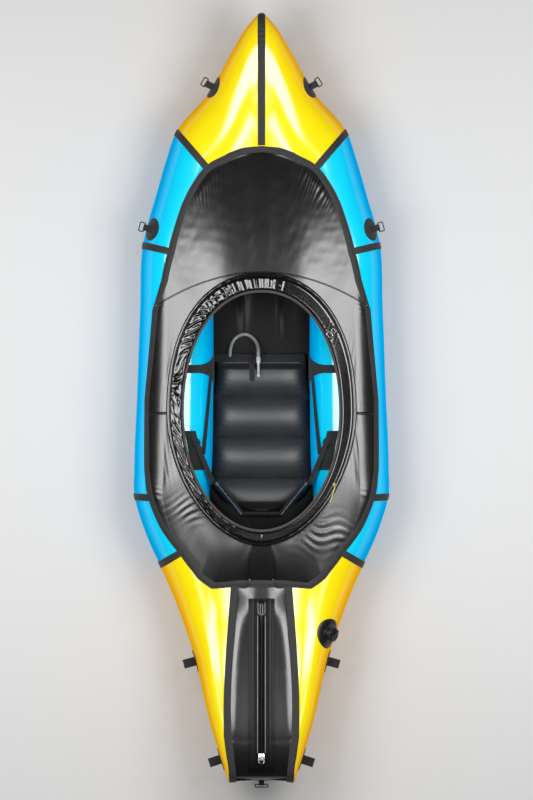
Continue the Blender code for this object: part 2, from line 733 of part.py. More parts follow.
def add_tapes():
    """The tape over the deck's edge, the bow's centre tape and the cargo panel's two tapes."""
    columns = [(1, s) for s in DECK_PATH] + [(-1, s) for s in reversed(DECK_PATH[1:-1])]
    over = DECK_LIFT + FABRIC + TAPE_OVER_DECK

    def deck_tape(column, v, w):
        side, s = column
        rise = (1 - w) * TAPE_THICKNESS
        if v < 0:
            back = v * TAPE_WIDTH / 2 / speed_around(s, deck_angle(s))
            lift = DECK_TAPE_EDGE_LIFT if v < -0.5 else over
            return hull_point(s, deck_angle(s) + back, lift + rise, side)
        return deck_skin(column, v * TAPE_WIDTH / 2, TAPE_OVER_DECK + rise)

    loft("deck_edge_tape", columns, (-1, -0.12, 0.4, 1), deck_tape, "seam_tape", closed=True)
    clearance = TAPE_WIDTH * 0.75 / speed_around(0, deck_angle(0))
    angles = steps(-60, deck_angle(0) - clearance, 16)
    bow = [(0, a) for a in angles]
    surface_tape("bow_tape", bow, "seam_tape")
    for word, side in (("port", -1), ("starboard", 1)):
        path = steps(15.25, CORNER, 10) + steps(CORNER, KEEL_EDGE, 6)[1:-1]
        places = [(s, cargo_angle(s)) for s in path]
        places += [(KEEL_EDGE, a) for a in (30, 20, 10, 0, -10, -20)]
        surface_tape("cargo_tape_" + word, places, "seam_tape", side)


def add_coaming():
    """The sewn flange, the rod in its outer edge and the binding on its inner edge."""
    turns = [360 * i / COAMING_STEPS for i in range(COAMING_STEPS)]
    riser = BINDING_DIAMETER + GAP + COAMING_SHEET / 2
    half = COAMING_SHEET / 2
    end = ROD_DIAMETER + GAP
    rod_up = RISER_HEIGHT - LIP_DROOP

    def flange(turn, k, w):
        away = -half if w else half
        if k == 0:
            return coaming_point(turn, 0, riser + away, 0)
        if k == 1:
            return coaming_point(turn, 0, riser + away, RISER_HEIGHT - (half + COAMING_SHEET))
        if k == 2:
            return coaming_point(turn, 0, riser + COAMING_SHEET + (half if w == 0 else -half * 0.4),
                                 RISER_HEIGHT - away)
        if k == 3:
            low = coaming_point(turn, 0, riser + COAMING_SHEET * 2, RISER_HEIGHT - away)
            high = coaming_point(turn, 1, -end, rod_up - away)
            return low.lerp(high, 0.55) + Vector((0, 0, LIP_DROOP * 0.4))
        return coaming_point(turn, 1, -end, rod_up - away)

    loft("coaming_flange", turns, range(5), flange, "coaming_fabric", closed=True)
    rod = [coaming_point(t, 1, -ROD_DIAMETER / 2, rod_up) for t in turns]
    tube("coaming_rod", rod, ROD_DIAMETER / 2, "coaming_fabric", cyclic=True)
    bead = [coaming_point(t, 0, BINDING_DIAMETER / 2, RISER_HEIGHT * 0.62) for t in turns]
    tube("coaming_binding", bead, BINDING_DIAMETER / 2, "binding_tape", cyclic=True, resolution=1)


def seat_point(u, v, w):
    """The seat's skin: u runs from front to rear, v across, w is 0 on top and 1 underneath."""
    y = lerp(SEAT_FRONT, SEAT_REAR, u)
    round_from = 0.77
    half = SEAT_WIDTH / 2 * lerp(SEAT_FRONT_TAPER_SHARE, 1, min(1, u / 0.5))
    if u > round_from:
        half *= math.sqrt(max(0.0, 1 - ((u - round_from) / (1 - round_from)) ** 2.4))
    rim = math.sqrt(max(0.0, 1 - abs(v) ** 3))
    from_seam = (SEAT_FIRST_SEAM - y) / SEAT_CHANNEL_PITCH
    swell = abs(math.sin(math.pi * from_seam)) ** 0.7
    if u < 0.02 or u > 0.97:
        swell = 0
    thick = SEAT_THICKNESS * lerp(0.30, 1 - SEAT_SEAM_DEPTH_SHARE * (1 - swell), rim)
    low = FLOOR_THICKNESS + GAP
    lift = SEAT_THICKNESS * 0.28 * (1 - rim)
    return Vector((v * half, y, low + lift + (thick - lift * 0.5 if w == 0 else 0)))


def add_seat():
    """The inflated seat with its channels, and the backrest band that stands behind it."""
    seams = [(SEAT_FRONT - SEAT_FIRST_SEAM + i * SEAT_CHANNEL_PITCH) / (SEAT_FRONT - SEAT_REAR)
             for i in range(SEAT_CHANNELS - 1)]
    edges = [0.0] + seams + [0.985]
    path = []
    for a, b in zip(edges, edges[1:]):
        path += [lerp(a, b, f) for f in (0, 0.1, 0.3, 0.5, 0.7, 0.9)]
    path.append(edges[-1])
    rows = (-1, -0.93, -0.75, -0.4, 0, 0.4, 0.75, 0.93, 1)
    loft("seat_cushion", path, rows, seat_point, "seat_fabric")
    pivot = Matrix.Translation((0, BACKREST_FRONT, BACKREST_PIVOT_HEIGHT))
    empty = joint_empty("backrest_pivot", pivot)
    corner = 0.30

    def path_point(u):
        """In plan: from the port end, slanting to the flat back and out again."""
        a = abs(u)
        slope = min(1.0, max(0.0, (a - corner) / (1 - corner)))
        blend = slope * slope * (3 - 2 * slope) * 0.25 + slope * 0.75
        x = lerp(BACKREST_FLAT_HALF * min(1, a / corner), BACKREST_HALF_WIDTH, blend)
        return Vector((math.copysign(x, u), -BACKREST_DEPTH * (1 - blend), 0))

    def backrest(u, v, w):
        here = path_point(u)
        forward = (path_point(min(u + 0.02, 1)) - path_point(max(u - 0.02, -1))).normalized()
        out = Vector((forward.y, -forward.x, 0))
        half = BACKREST_THICKNESS / 2 * math.sqrt(max(0.1, 1 - abs(2 * v - 1) ** 3))
        up = BACKREST_BOTTOM - BACKREST_PIVOT_HEIGHT + v * BACKREST_HEIGHT
        return here + out * (half if w == 0 else -half) + Vector((0, 0, up))

    loft("backrest", steps(-1, 1, 16), (0, 0.08, 0.3, 0.7, 0.92, 1), backrest, "seat_fabric", parent=empty)


def add_seat_fittings():
    """On each side: the patch, buckle and strap that hold the backrest, and the side webbing."""
    for word, side in (("port", -1), ("starboard", 1)):
        def patch(i, v, w):
            shares = [lerp(a, b, i) for a, b in zip(STRAP_PATCH_FORE_SHARES, STRAP_PATCH_AFT_SHARES)]
            s = lerp(*STRAP_PATCH_STATIONS, i)
            angle = lerp(top_angle(s, shares[0]), top_angle(s, shares[1]), v)
            return hull_point(s, angle, STRAP_PATCH_LIFT + (1 - w) * STRAP_THICKNESS, side)

        loft("strap_patch_" + word, (0, 0.5, 1), (0, 0.25, 0.5, 0.75, 1), patch, "webbing")
        spot_angle = top_angle(BUCKLE_STATION, BUCKLE_SHARE)
        over = STRAP_PATCH_LIFT + STRAP_THICKNESS + GAP + BUCKLE_WIRE / 2
        frame = hull_frame(BUCKLE_STATION, spot_angle, over, side)
        low_end = Vector((side * (BACKREST_HALF_WIDTH + GAP), BACKREST_FRONT, BACKREST_PIVOT_HEIGHT))
        toward = (low_end - frame.translation).normalized()
        normal = frame.col[2].to_3d()
        run = (toward - normal * toward.dot(normal)).normalized()
        across = normal.cross(run)
        centre = frame.translation
        loop = rounded_loop(BUCKLE_WIDTH, BUCKLE_LENGTH, BUCKLE_WIRE)
        tube("strap_buckle_" + word, [centre + across * x + run * y for x, y in loop], BUCKLE_WIRE / 2,
             "hard_plastic", cyclic=True)
        start = centre + run * (BUCKLE_LENGTH / 2 + BUCKLE_WIRE + GAP)
        beside = BACKREST_THICKNESS * WING_LEAN_SHARE + abs(across.x) * STRAP_WIDTH / 2
        end = low_end + Vector((side * beside, -BACKREST_THICKNESS * WING_TURN_SHARE, 0))

        def strap(f, v, w):
            here = start.lerp(end, f) + Vector((0, 0, STRAP_SAG)) * 4 * f * (1 - f)
            return here + across * v * STRAP_WIDTH / 2 + normal * (w - 0.5) * -STRAP_THICKNESS

        loft("backrest_strap_" + word, (0, 0.25, 0.5, 0.75, 1), (-1, 1), strap, "webbing")

        def webbing(angle, v, w):
            f = (angle - WEBBING_TOP_ANGLE) / (WEBBING_FOOT_ANGLE - WEBBING_TOP_ANGLE)
            width = lerp(WEBBING_TOP_WIDTH, WEBBING_FOOT_WIDTH, max(0.0, f - 0.25) ** 1.6 / 0.75**1.6)
            s = WEBBING_STATION + v * width / 2 / skin_slopes(WEBBING_STATION, angle)[0].length
            return hull_point(s, angle, STRAP_PATCH_LIFT + (1 - w) * STRAP_THICKNESS, side)

        loft("side_webbing_" + word, steps(WEBBING_TOP_ANGLE, WEBBING_FOOT_ANGLE, 7), (-1, 0, 1), webbing,
             "webbing")


def rounded_loop(width, depth, wire):
    """The wire's middle line round a rounded rectangle of the given inner size."""
    half_w, half_d = (width + wire) / 2, (depth + wire) / 2
    corner = min(half_w, half_d) * 0.4
    points = []
    for k, (sx, sy) in enumerate(((1, 1), (-1, 1), (-1, -1), (1, -1))):
        for f in (0, 0.5, 1):
            turn = math.radians(90 * (k + f))
            points.append((sx * (half_w - corner) + corner * math.cos(turn),
                           sy * (half_d - corner) + corner * math.sin(turn)))
    return points


def smooth_route(points, parts):
    """More points on a smooth curve through a route's own points."""
    route = [Vector(p) for p in points]
    ends = [route[0] * 2 - route[1]] + route + [route[-1] * 2 - route[-2]]
    result = []
    for k in range(1, len(ends) - 2):
        p0, p1, p2, p3 = ends[k - 1:k + 3]
        for i in range(parts):
            f = i / parts
            result.append((p1 * 2 + (p2 - p0) * f + (p0 * 2 - p1 * 5 + p2 * 4 - p3) * f * f
                           + (p1 * 3 - p0 - p2 * 3 + p3) * f**3) / 2)
    return result + [route[-1]]


def add_hose():
    """The seat's filling hose, and the mouth valve on its end."""
    route = smooth_route(HOSE_ROUTE, 2)
    tube("hose", route, HOSE_DIAMETER / 2, "hose_plastic")
    run = (route[-1] - route[-2]).normalized()
    length = VALVE_STEM
    turned_to = run.to_track_quat("Z", "Y").to_matrix().to_4x4()
    matrix = Matrix.Translation(route[-1]) @ turned_to
    stem, collar = STEM_RADIUS, HOSE_DIAMETER / 2 + COLLAR_STEP
    tip = stem + TIP_STEP
    profile = ((0, length), (stem, length), (tip, length - TIP_CHAMFER), (tip, length - TIP_LENGTH),
               (stem, length - TIP_LENGTH - TIP_CHAMFER), (stem, COLLAR_END + COLLAR_TAPER),
               (collar, COLLAR_END), (collar, COLLAR_START), (HOSE_DIAMETER / 2, GAP), (0, GAP))
    turned("mouth_valve", profile, matrix, "hose_plastic", steps=12)


def patch_disc(name, s, angle, side, diameter, lift, thickness, material, rings=(0.02, 0.5, 1)):
    """A round fabric patch laid on the tube. Its faces break at the given shares of its radius."""
    frame = hull_frame(s, angle, 0, 1)
    across, around = frame.col[0].to_3d(), frame.col[1].to_3d()

    def point(turn, share, w):
        r = diameter / 2 * share
        shift = across * (r * math.cos(math.radians(turn))) + around * (r * math.sin(math.radians(turn)))
        return skin_offset(s, angle, shift, lift + (1 - w) * thickness, side)

    return loft(name, [i * 22.5 for i in range(16)], rings, point, material, closed=True)


def webbing_tab(name, frame, width, length, room, foot):
    """A folded webbing loop that stands on a patch, with room for a bar or a cord inside its fold."""
    outer = room + TAB_WEB
    outline = [(outer, foot)]
    for k in range(5):
        turn = math.radians(45 * k)
        outline.append((outer * math.cos(turn), length - outer + outer * math.sin(turn)))
    outline.append((-outer, foot))
    inner = [(-room, foot + TAB_WEB)]
    for k in range(5):
        turn = math.radians(180 - 45 * k)
        inner.append((room * math.cos(turn), length - outer + room * math.sin(turn)))
    inner.append((room, foot + TAB_WEB))
    inner.reverse()

    def point(i, v, w):
        y, z = (outline if w == 0 else inner)[i]
        return frame @ Vector((v * width / 2, y, z))

    return loft(name, range(len(outline)), (-1, 1), point, "webbing", closed=True)


def ring_on_bar(name, frame, reach, inner_width, inner_depth, hang, material):
    """A ring whose straight side lies in a tab's fold; its empty is on that side's line."""
    pivot = frame @ Matrix.Translation((0, 0, reach)) @ Matrix.Rotation(math.radians(hang), 4, "X")
    empty = joint_empty(name + "_pivot", pivot)
    loop = rounded_loop(inner_width, inner_depth, RING_WIRE)
    low = min(y for _, y in loop)
    tube(name, [Vector((x, 0, y - low)) for x, y in loop], RING_WIRE / 2, material, cyclic=True,
         parent=empty)


def add_ties():
    """Eight patches: four hold a ring in a tab, four a webbing loop. The stern has its own tab and ring."""
    foot = TIE_PATCH_LIFT + TIE_PATCH_THICKNESS * 0.35
    room = RING_WIRE / 2 + RING_PLAY
    bar = TAB_LENGTH - room - TAB_WEB
    for word, side in (("port", -1), ("starboard", 1)):
        for place_name, s, angle in RING_PLACES + LOOP_PLACES:
            tag = place_name + "_" + word
            disc = patch_disc("tie_patch_" + tag, s, angle, side, TIE_PATCH_DIAMETER, TIE_PATCH_LIFT,
                              TIE_PATCH_THICKNESS, "webbing")
            frame = hull_frame(s, angle, 0, side)
            if (place_name, s, angle) in LOOP_PLACES:
                union(disc, webbing_tab("loop_" + tag, frame, LOOP_WIDTH, LOOP_LENGTH, LOOP_ROOM, foot))
                continue
            union(disc, webbing_tab("tab_" + tag, frame, TAB_WIDTH, TAB_LENGTH, room, foot))
            ring_on_bar("tie_ring_" + tag, frame, bar, RING_INNER_WIDTH, RING_INNER_DEPTH, RING_HANG,
                        "ring_plastic")
    frame = hull_frame(STERN, STERN_TAB_ANGLE, 0, 1)
    disc = patch_disc("stern_patch", STERN, STERN_TAB_ANGLE, 1, STERN_PATCH_DIAMETER, TIE_PATCH_LIFT,
                      TIE_PATCH_THICKNESS, "webbing")
    union(disc, webbing_tab("stern_tab", frame, STERN_TAB_WIDTH, STERN_TAB_LENGTH, room, foot))
    bar = STERN_TAB_LENGTH - room - TAB_WEB
    ring_on_bar("stern_ring", frame, bar, STERN_RING_INNER_WIDTH, STERN_RING_INNER_DEPTH, RING_HANG,
                "ring_plastic")


def add_valve():
    """The filling valve: its fabric patch, its moulded body and the cap that twists off it."""
    patch_disc("valve_patch", VALVE_STATION, VALVE_ANGLE, 1, VALVE_PATCH_DIAMETER, TIE_PATCH_LIFT,
               TIE_PATCH_THICKNESS, "hard_plastic", rings=(0.02, 0.35, 0.68, 1))
    base = TIE_PATCH_LIFT + TIE_PATCH_THICKNESS + GAP
    frame = hull_frame(VALVE_STATION, VALVE_ANGLE, 0, 1)
    flange, neck, bore = VALVE_FLANGE_DIAMETER / 2, VALVE_NECK_DIAMETER / 2, VALVE_BORE / 2
    top = base + VALVE_FLANGE_THICKNESS + VALVE_NECK_HEIGHT
    edge = VALVE_FLANGE_THICKNESS * 0.3
    body = ((bore, base + VALVE_FLANGE_THICKNESS), (bore, top), (neck, top),
            (neck, base + VALVE_FLANGE_THICKNESS), (flange - edge, base + VALVE_FLANGE_THICKNESS),
            (flange, base + VALVE_FLANGE_THICKNESS - edge), (flange, base), (0, base))
    inside = ((0, base + VALVE_FLANGE_THICKNESS * 0.8), (bore, base + VALVE_FLANGE_THICKNESS * 0.8))
    turned("valve_body", inside + body[1:], frame, "hard_plastic", steps=24)
    pivot = joint_empty("valve_cap_pivot", frame @ Matrix.Translation((0, 0, top + GAP)))
    cap = VALVE_CAP_DIAMETER / 2
    thick = VALVE_CAP_HEIGHT
    profile = ((0, thick), (cap * 0.86, thick), (cap, thick * 0.7), (cap, 0), (0, 0))
    lid = turned("valve_cap", profile, Matrix.Identity(4), "hard_plastic", steps=24, parent=pivot)
    grip = box("valve_grip", (VALVE_CAP_DIAMETER * 0.8, VALVE_GRIP_WIDTH, VALVE_GRIP_HEIGHT * 1.5),
               Matrix.Translation((0, 0, thick + VALVE_GRIP_HEIGHT * 0.25)), "hard_plastic",
               bevel=VALVE_GRIP_WIDTH * 0.2, parent=pivot)
    union(lid, grip)


def centre_top(y, lift=0.0):
    """A point on the cargo panel's centre line at y, which counts from the hull's middle."""
    low, high = 5.0, 175.0
    for _ in range(40):
        angle = (low + high) / 2
        if hull_point(STERN, angle, lift).y < y:
            low = angle
        else:
            high = angle
    return hull_point(STERN, (low + high) / 2, lift)


def skin_below(x, y, lift):
    """The cargo panel's skin beside its centre line: the station whose ring passes x at y."""
    low, high = CORNER, STERN
    if abs(x) < SEAM_GAP:
        return centre_top(y, lift)
    best = None
    for s in steps(16.0, STERN, 60):
        row = station(s)[0]
        span = row[1] - row[3]
        share = (row[1] - y) / span
        across = lerp(row[0], row[2], share)
        if best is None or abs(across - abs(x)) < best[0]:
            best = (abs(across - abs(x)), s, share)
    s, share = best[1], best[2]
    p = hull_point(s, top_angle(s, share), lift)
    return Vector((x, y, p.z))


def add_zip():
    """The cargo zip: its tape with the chain on it, the slider and the slider's pull."""
    half = ZIP_TAPE_WIDTH / 2
    track_low = centre_top(CHAIN_FORE, TAPE_LIFT + ZIP_TAPE_THICKNESS)
    track_high = centre_top(CHAIN_AFT, TAPE_LIFT + ZIP_TAPE_THICKNESS)
    clear = 0.0
    for y in steps(CHAIN_FORE, CHAIN_AFT, 20):
        f = (y - CHAIN_FORE) / (CHAIN_AFT - CHAIN_FORE)
        over = centre_top(y, TAPE_LIFT + ZIP_TAPE_THICKNESS).z - lerp(track_low.z, track_high.z, f)
        clear = max(clear, over)

    def track(y):
        """The straight line along the chain's top."""
        f = (y - CHAIN_FORE) / (CHAIN_AFT - CHAIN_FORE)
        return lerp(track_low.z, track_high.z, f) + clear + CHAIN_LEAST_HEIGHT

    chain_half = CHAIN_WIDTH / 2
    ys = ([ZIP_FORE, (ZIP_FORE + CHAIN_FORE) / 2, CHAIN_FORE + SLIDER_LENGTH / 4]
          + steps(CHAIN_FORE, CHAIN_AFT, 9) + [CHAIN_AFT - SLIDER_LENGTH / 4, ZIP_AFT])
    xs = (-half, -half / 2, -chain_half * 1.15, -chain_half, chain_half, chain_half * 1.15, half / 2, half)

    def tape(y, x, w):
        skin = skin_below(x if abs(x) > chain_half * 1.5 else 0.0, y, TAPE_LIFT)
        skin.x = x
        if w:
            return skin
        if abs(x) <= chain_half and CHAIN_AFT <= y <= CHAIN_FORE:
            return Vector((x, y, track(y)))
        return skin + Vector((0, 0, ZIP_TAPE_THICKNESS))

    loft("cargo_zip", ys, xs, tape, "black_fabric")
    rise = math.atan2(track(CHAIN_AFT) - track(CHAIN_FORE), CHAIN_FORE - CHAIN_AFT)
    slider_y = CHAIN_AFT + SLIDER_LENGTH
    here = Vector((0, slider_y, track(slider_y) + GAP))
    matrix = Matrix.Translation(here) @ Matrix.Rotation(-rise, 4, "X")
    slide = joint_empty("zip_slide", matrix)
    body = Matrix.Translation((0, 0, SLIDER_HEIGHT / 2))
    slider = box("zip_slider", (SLIDER_WIDTH, SLIDER_LENGTH, SLIDER_HEIGHT), body, "steel",
                 bevel=SLIDER_HEIGHT * 0.2, parent=slide)
    bridge_top = SLIDER_HEIGHT + PULL_WIRE * 1.9
    arch = (SLIDER_LENGTH * 0.22, SLIDER_HEIGHT * 0.5), (SLIDER_LENGTH * 0.22, bridge_top), \
           (-SLIDER_LENGTH * 0.22, bridge_top), (-SLIDER_LENGTH * 0.22, SLIDER_HEIGHT * 0.5)
    inner = (SLIDER_LENGTH * 0.12, SLIDER_HEIGHT * 0.5), (SLIDER_LENGTH * 0.12, bridge_top - PULL_WIRE * 0.5), \
            (-SLIDER_LENGTH * 0.12, bridge_top - PULL_WIRE * 0.5), (-SLIDER_LENGTH * 0.12, SLIDER_HEIGHT * 0.5)

    def bridge(i, v, w):
        y, z = (inner if w else arch)[i]
        return Vector((v * PULL_WIRE, y, z))

    union(slider, loft("zip_bridge", range(4), (-1, 1), bridge, "steel", parent=slide))
    bar_height = SLIDER_HEIGHT + PULL_WIRE / 2 + PULL_WIRE * 0.35
    pivot = matrix @ Matrix.Translation((0, 0, bar_height)) @ Matrix.Rotation(math.radians(92), 4, "X")
    empty = joint_empty("zip_pull_pivot", pivot)
    loop = rounded_loop(PULL_WIDTH - PULL_WIRE, PULL_LENGTH - PULL_WIRE, PULL_WIRE)
    low = min(y for _, y in loop)
    tube("zip_pull", [Vector((x, 0, y - low)) for x, y in loop], PULL_WIRE / 2, "webbing", cyclic=True,
         parent=empty)


def settle_origin():
    """Move the whole raft so that its box is centred on X and Y."""
    bpy.context.view_layer.update()
    graph = bpy.context.evaluated_depsgraph_get()
    low, high = Vector((9, 9, 9)), Vector((-9, -9, -9))
    for thing in RAFT.objects:
        if thing.type == "EMPTY" or thing.name in CORD_NAMES:
            continue
        shape = thing.evaluated_get(graph)
        mesh = shape.to_mesh()
        for vertex in mesh.vertices:
            p = shape.matrix_world @ vertex.co
            low = Vector(map(min, low, p))
            high = Vector(map(max, high, p))
        shape.to_mesh_clear()
    ROOT.location = Vector((-(low.x + high.x) / 2, -(low.y + high.y) / 2, -low.z))


CORD_NAMES = ("hose", "mouth_valve")

clear_scene()
RAFT = bpy.data.collections.new("packraft")
CUTTERS = bpy.data.collections.new("joined_shapes")
bpy.context.scene.collection.children.link(RAFT)
bpy.context.scene.collection.children.link(CUTTERS)
MATERIALS = {name: make_material(name) for name in COLOURS}
ROOT = bpy.data.objects.new("raft_origin", None)
RAFT.objects.link(ROOT)

add_hull()
add_floor()
add_deck()
add_tapes()
add_coaming()
add_seat()
add_seat_fittings()
add_hose()
add_ties()
add_valve()
add_zip()
settle_origin()
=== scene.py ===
"""The looks of a decked packraft, built round its frame.

Metres. +Y is the bow, +X is starboard, +Z is up. The hull is one inflated tube that runs round the boat.
A place on it is a station, 0 at the bow to 19 at the stern and below zero on the port side, and an angle:
0 on the outer side, 90 on top, 180 on the cockpit side and -90 underneath.
"""

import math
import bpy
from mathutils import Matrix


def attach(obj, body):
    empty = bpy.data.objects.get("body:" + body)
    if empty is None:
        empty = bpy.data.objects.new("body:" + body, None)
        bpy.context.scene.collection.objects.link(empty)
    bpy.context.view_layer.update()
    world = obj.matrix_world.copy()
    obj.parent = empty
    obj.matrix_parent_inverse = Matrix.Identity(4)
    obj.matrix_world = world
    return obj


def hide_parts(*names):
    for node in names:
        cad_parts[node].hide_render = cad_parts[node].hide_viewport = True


bl_info = {
    "name": "Packraft builder",
    "version": (1, 0, 0),
    "blender": (4, 5, 0),
    "location": "View3D > Sidebar > Packraft",
    "description": "Builds a decked packraft from its panels, tapes, coaming, seat and fittings",
    "category": "Object",
}

import bmesh
import bpy
import numpy as np
from mathutils import Matrix, Vector
from mathutils.bvhtree import BVHTree

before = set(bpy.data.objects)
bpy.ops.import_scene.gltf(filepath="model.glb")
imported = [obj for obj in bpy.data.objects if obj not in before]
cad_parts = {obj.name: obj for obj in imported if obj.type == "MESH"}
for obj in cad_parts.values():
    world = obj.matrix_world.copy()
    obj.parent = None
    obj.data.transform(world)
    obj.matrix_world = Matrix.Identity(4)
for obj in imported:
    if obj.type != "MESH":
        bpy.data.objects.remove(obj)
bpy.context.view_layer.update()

# Hull sizes
HULL_LENGTH, HULL_WIDTH, TUBE_HEIGHT = 2.65, 0.882, 0.27
BOW_RISE, STERN_RISE, BOW_FLAT, STERN_FLAT = 0.16, 0.10, 0.76, 0.60
STERN_RAMP_SHARE = 0.25
FLOOR_THICKNESS, GAP, FABRIC = 0.0015, 0.0003, 0.0015
SKIN_WALL, DECK_WALL = 0.0012, 0.0014
# The hull is moved along by this much, so that the whole part is centred on the origin.
SHIFT = 0.009828

# Each row is one station: outer point, inner point (across, along) and tube height, as shares.
STATION_SHARES = np.array((
    (0.000, 1.000, 0.000, 0.517, 0.98), (0.102, 0.971, 0.047, 0.517, 0.98), (0.220, 0.909, 0.086, 0.517, 0.99),
    (0.408, 0.799, 0.149, 0.517, 1.00), (0.671, 0.695, 0.231, 0.522, 1.00), (0.749, 0.621, 0.282, 0.501, 1.00),
    (0.824, 0.535, 0.333, 0.460, 1.00), (0.933, 0.399, 0.388, 0.355, 1.00), (0.953, 0.230, 0.380, 0.230, 1.00),
    (0.980, -0.005, 0.380, -0.005, 1.00), (1.000, -0.188, 0.392, -0.188, 1.00), (0.998, -0.258, 0.408, -0.266, 1.00),
    (0.918, -0.347, 0.400, -0.311, 1.00), (0.800, -0.436, 0.353, -0.347, 1.01), (0.675, -0.533, 0.220, -0.366, 1.02),
    (0.518, -0.684, 0.125, -0.376, 1.01), (0.404, -0.846, 0.086, -0.383, 0.99), (0.259, -1.000, 0.071, -0.384, 0.95),
    (0.2235, -0.9995, 0.063, -0.384, 0.94), (0.000, -0.9935, 0.000, -0.384, 0.93)))
# The power of each station's squared oval: 2 is an ellipse, and more is squarer.
SQUARENESS = np.array((2,) * 14 + (2.2, 2.8, 4.0, 5.0, 5.0, 6.0), float)
# Stations of the seams across the tube, of the stern's corner, and of the ends of panels, tapes and floor
SIDE_SEAM, CARGO_START, CARGO_TAPE_START, FLOOR_START, FLOOR_END = 9.2, 14.02, 15.38, 3.9, 13.6
BOW_SEAM, FORE_SEAM, MID_SEAM, QUARTER_SEAM, CORNER, KEEL_EDGE, STERN = 4, 7, 11, 13, 17, 18, 19
# The deck's edge and the cargo panel's edge: shares of the way over the tube, from its outer to its inner side
DECK_EDGE_SHARES = (0.730, 0.7265, 0.717, 0.700, 0.678, 0.640, 0.603, 0.590, 0.576, 0.5467, 0.5205, 0.4878, 0.463,
                    0.4438, 0.4203, 0.347, 0.215, 0.140, 0.172, 0.226, 0.290, 0.405,
                    0.423, 0.502, 0.583, 0.645, 0.692, 0.729, 0.758, 0.781, 0.838, 0.837, 0.836)
DECK_EDGE_STATIONS = tuple(np.arange(16) / 2) + tuple(range(8, 15)) + (
    14.5, 14.75, 15, 15.25, 15.5, 15.75, 16, 17, 18, 19)
CARGO_EDGE_SHARES = (1.0, 0.920, 0.8652, 0.804, 0.7462, 0.6887, 0.618, 0.526, 0.4068, 0.2617, 0.1433, 0.0948,
                     0.077, 0.059, 0.0367, 0.0083, 0.0)
CARGO_EDGE_STATIONS = (14,) + tuple(14.5 + np.arange(15) / 4) + (19,)

# Deck, tapes and coaming
DECK_LIFT, DECK_CROWN = 0.0024, 0.010
TAPE_WIDTH, CROSS_TAPE_WIDTH, TAPE_LIFT, TAPE_THICKNESS, TAPE_SINK = 0.025, 0.024, 0.0017, 0.0009, 0.0012
BINDING_DIAMETER, ROD_DIAMETER, COAMING_SHEET = 0.010, 0.014, 0.0025
COCKPIT_SHIFT, OPENING_WIDTH, OPENING_FRONT, OPENING_REAR = -0.052, 0.535, 0.415, 0.401
LIP_SIDE, LIP_FRONT, LIP_REAR = 0.061, 0.067, 0.0575
RISER_HEIGHT, LIP_DROOP = 0.030, 0.008

# Seat, backrest and their straps
SEAT_WIDTH, SEAT_FRONT, SEAT_REAR, SEAT_THICKNESS = 0.350, 0.1246, -0.394, 0.076
SEAT_PITCH, SEAT_FIRST_SEAM = 0.1424, 0.0059
BACK_HALF, BACK_FRONT, BACK_DEPTH, BACK_FLAT = 0.157, -0.292, 0.112, 0.068
BACK_THICKNESS, BACK_BOTTOM, BACK_HEIGHT, BACK_PIVOT = 0.018, 0.088, 0.150, 0.200

STRAP_WIDTH, STRAP_THICKNESS, SIDE_STRAP_WIDTH, GUSSET_STATION, GUSSET_TOP, GUSSET_FOOT = (
    0.020, 0.0018, 0.019, 8.66, 104, 196)
BUCKLE_STATION, BUCKLE_SHARE, BUCKLE_WIDTH, BUCKLE_DEPTH, BUCKLE_WIRE = 9.62, 0.780, 0.028, 0.018, 0.0035

HOSE_DIAMETER, VALVE_STEM = 0.012, 0.074
HOSE_ROUTE = ((-0.1093, 0.1252, 0.0360), (-0.1093, 0.1419, 0.0350), (-0.1090, 0.1592, 0.0310),
              (-0.1073, 0.1747, 0.0240), (-0.1021, 0.1920, 0.0160), (-0.0917, 0.2076, 0.0110),
              (-0.0761, 0.2187, 0.0092), (-0.0599, 0.2225, 0.0092), (-0.0436, 0.2187, 0.0120),
              (-0.0287, 0.2076, 0.0200), (-0.0180, 0.1930, 0.0320), (-0.0131, 0.1790, 0.0470),
              (-0.0114, 0.1680, 0.0610), (-0.0112, 0.1560, 0.0715), (-0.0111, 0.1430, 0.0760))

SIDES = (("port", -1), ("starboard", 1))
# The slots of materials that have no slot of their own name; the pull cord's has none at all.
MATERIAL_SLOTS = {"deck_fabric": "black_fabric", "cargo_fabric": "black_fabric", "zip_tape": "black_fabric",
                  "sleeve_fabric": "coaming_fabric", "binding": "binding_tape", "clear_plastic": "hose_plastic",
                  "cord_yellow": None}

# Fittings: each place is a name, a station and an angle.
RING_PLACES = (("bow", 2.85, 14), ("fore", 6.66, 33))
LOOP_PLACES = (("stern_mid", 15.02, 4), ("stern_rear", 16.62, 8))
PATCH_LIFT, PATCH_THICKNESS, PATCH_DIAMETER, STERN_PATCH_DIAMETER = 0.0011, 0.0014, 0.080, 0.046
# Folded tabs are (width, length), rings (width, depth) inside their wire.
WEB, LOOP_SIZE, LOOP_ROOM, TAB_SIZE, STERN_TAB_SIZE = 0.002, (0.031, 0.044), 0.0045, (0.022, 0.034), (0.018, 0.022)
RING_SIZE, STERN_RING_SIZE, RING_WIRE, RING_REST, STERN_ANGLE = (0.027, 0.014), (0.040, 0.009), 0.004, 40, 10
VALVE_STATION, VALVE_ANGLE, VALVE_PATCH_DIAMETER = 14.70, 40, 0.104

